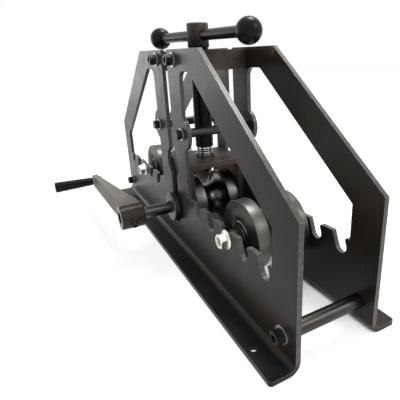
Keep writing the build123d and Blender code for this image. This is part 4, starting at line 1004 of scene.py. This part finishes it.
def crank():
    """Arm, hub, the hub's screw, spindle, collar, nut and grip."""
    skin = crank_skin("crank_skin", middle("drive_shaft"))
    # the paler rounded edges of the arm are partly wear and partly a painted highlight
    dress("crank_arm", skin, 1.0 * MM, rubbed_edge_and_highlight("crank_edges_worn_and_highlit", PAINT_EDGE_WEAR_AND_HIGHLIGHT))
    black = black_oxide("crank_hardware")
    make_piece("hub_screw", [hub_screw_shell()], black, "crank", ["crank_set_screw"], sharp=28.0)
    dress("spindle_nut", black, 0.35 * MM)
    dress("grip_spindle grip_collar", turned_steel("spindle_finish", middle("grip_spindle"), SPINDLE), 0.2 * MM)
    grip = smooth_plastic("grip_plastic", GRIP, (0.24, 0.34), grain=0.08 * MM, scale=1400.0)
    dress("crank_grip", grip, 0.5 * MM)


# ---- studio ----
WHITE = (1.0, 1.0, 1.0, 1.0)
FLOOR_GREY = (0.55, 0.55, 0.55, 1.0)
FLOOR_HALF = 6.0
FLOOR_GLOW = 0.78
# painted shade on the floor: its glow drops where the machine stands close over it
SHADE_REACH = 0.20
SHADE_SAMPLES = 16
SHADE_OPENING = (0.11, 0.27)
PAINTED_SHADE_ACROSS = (50.0 * MM, 62.0 * MM)  # painted shade: the floor between the plates' middles doesn't glow
PAINTED_SHADE_ALONG = (90.0 * MM, 150.0 * MM)
ROOM_LIGHT = 0.38
LAMPS = {
    # name: place, width, height, watts
    "overhead": ((-0.25, 0.62, 2.00), 0.62, 0.62, 32.0),
    "right_card": ((1.50, 1.10, 1.35), 0.8, 0.8, 12.0),
    "side_card": ((-1.80, -0.85, 0.36), 1.5, 0.62, 5.4),
}


def camera_or_mirror(tree):
    """1 for what the camera, a reflection or a clear piece sees directly, 0 for light on its way."""
    path = tree.nodes.new("ShaderNodeLightPath")
    total = path.outputs["Is Camera Ray"]
    for name in ("Is Glossy Ray", "Is Transmission Ray"):
        node = tree.nodes.new("ShaderNodeMath")
        node.operation = "MAXIMUM"
        tree.links.new(total, node.inputs[0])
        tree.links.new(path.outputs[name], node.inputs[1])
        total = node.outputs[0]
    return total


def white_paper():
    """The floor. It glows white for what sees it directly, less where the machine stands close over it, and not
    between the plates' middles, where only the lamps' own light reaches it: the lower glow is painted shade."""
    finish = Finish("white_paper", Base_Color=FLOOR_GREY, Roughness=0.9, Specular_IOR_Level=0.0,
                    Emission_Color=WHITE)
    nearby = finish.add("ShaderNodeAmbientOcclusion", samples=SHADE_SAMPLES)
    nearby.inputs["Distance"].default_value = SHADE_REACH
    # painted shade: less glow where the machine is close above, none between the plates' middles
    under_sky = finish.spread(nearby.outputs["AO"], 0.0, FLOOR_GLOW, *SHADE_OPENING, smooth=True)
    beside = finish.rise(finish.math("ABSOLUTE", finish.axis("Y")), *PAINTED_SHADE_ACROSS)
    beyond = finish.rise(finish.math("ABSOLUTE", finish.axis("X")), *PAINTED_SHADE_ALONG, smooth=True)
    glow = finish.math("MULTIPLY", under_sky, finish.math("MAXIMUM", beside, beyond))
    finish.feed("Emission Strength", finish.math("MULTIPLY", glow, camera_or_mirror(finish.tree)))
    return finish.material


def studio():
    """White room, three soft lamps, and a white floor that keeps the shadow and has painted shade close under the
    machine.
    """
    world = bpy.data.worlds.new("white_room")
    world.use_nodes = True
    bpy.context.scene.world = world
    tree = world.node_tree
    strength = tree.nodes.new("ShaderNodeMapRange")
    strength.inputs["To Min"].default_value = ROOM_LIGHT
    strength.inputs["To Max"].default_value = 1.0
    tree.links.new(camera_or_mirror(tree), strength.inputs["Value"])
    tree.nodes["Background"].inputs["Color"].default_value = WHITE
    tree.links.new(strength.outputs[0], tree.nodes["Background"].inputs["Strength"])

    mesh = bpy.data.meshes.new("floor")
    corners = np.array([(-1, -1, 0), (1, -1, 0), (1, 1, 0), (-1, 1, 0)]) * FLOOR_HALF
    mesh.from_pydata(corners.tolist(), [], [(0, 1, 2, 3)])
    mesh.materials.append(white_paper())
    floor = into_scene("floor", mesh)

    target = Vector((np.array(cad_box[0]) + np.array(cad_box[1])) / 2)
    for name, (place, width, height, watts) in LAMPS.items():
        data = bpy.data.lights.new(name, "AREA")
        data.shape = "RECTANGLE"
        data.size, data.size_y = width, height
        data.energy = watts
        lamp = into_scene(name, data)
        lamp.location = place
        lamp.rotation_euler = (target - Vector(place)).to_track_quat("-Z", "Y").to_euler()
        lamp.visible_camera = False
    bpy.context.scene.view_settings.view_transform = "Standard"


add_camera()
plates()
fasteners()
yoke()
screw_and_bar()
dies()
axle_sets()
crank()
studio()
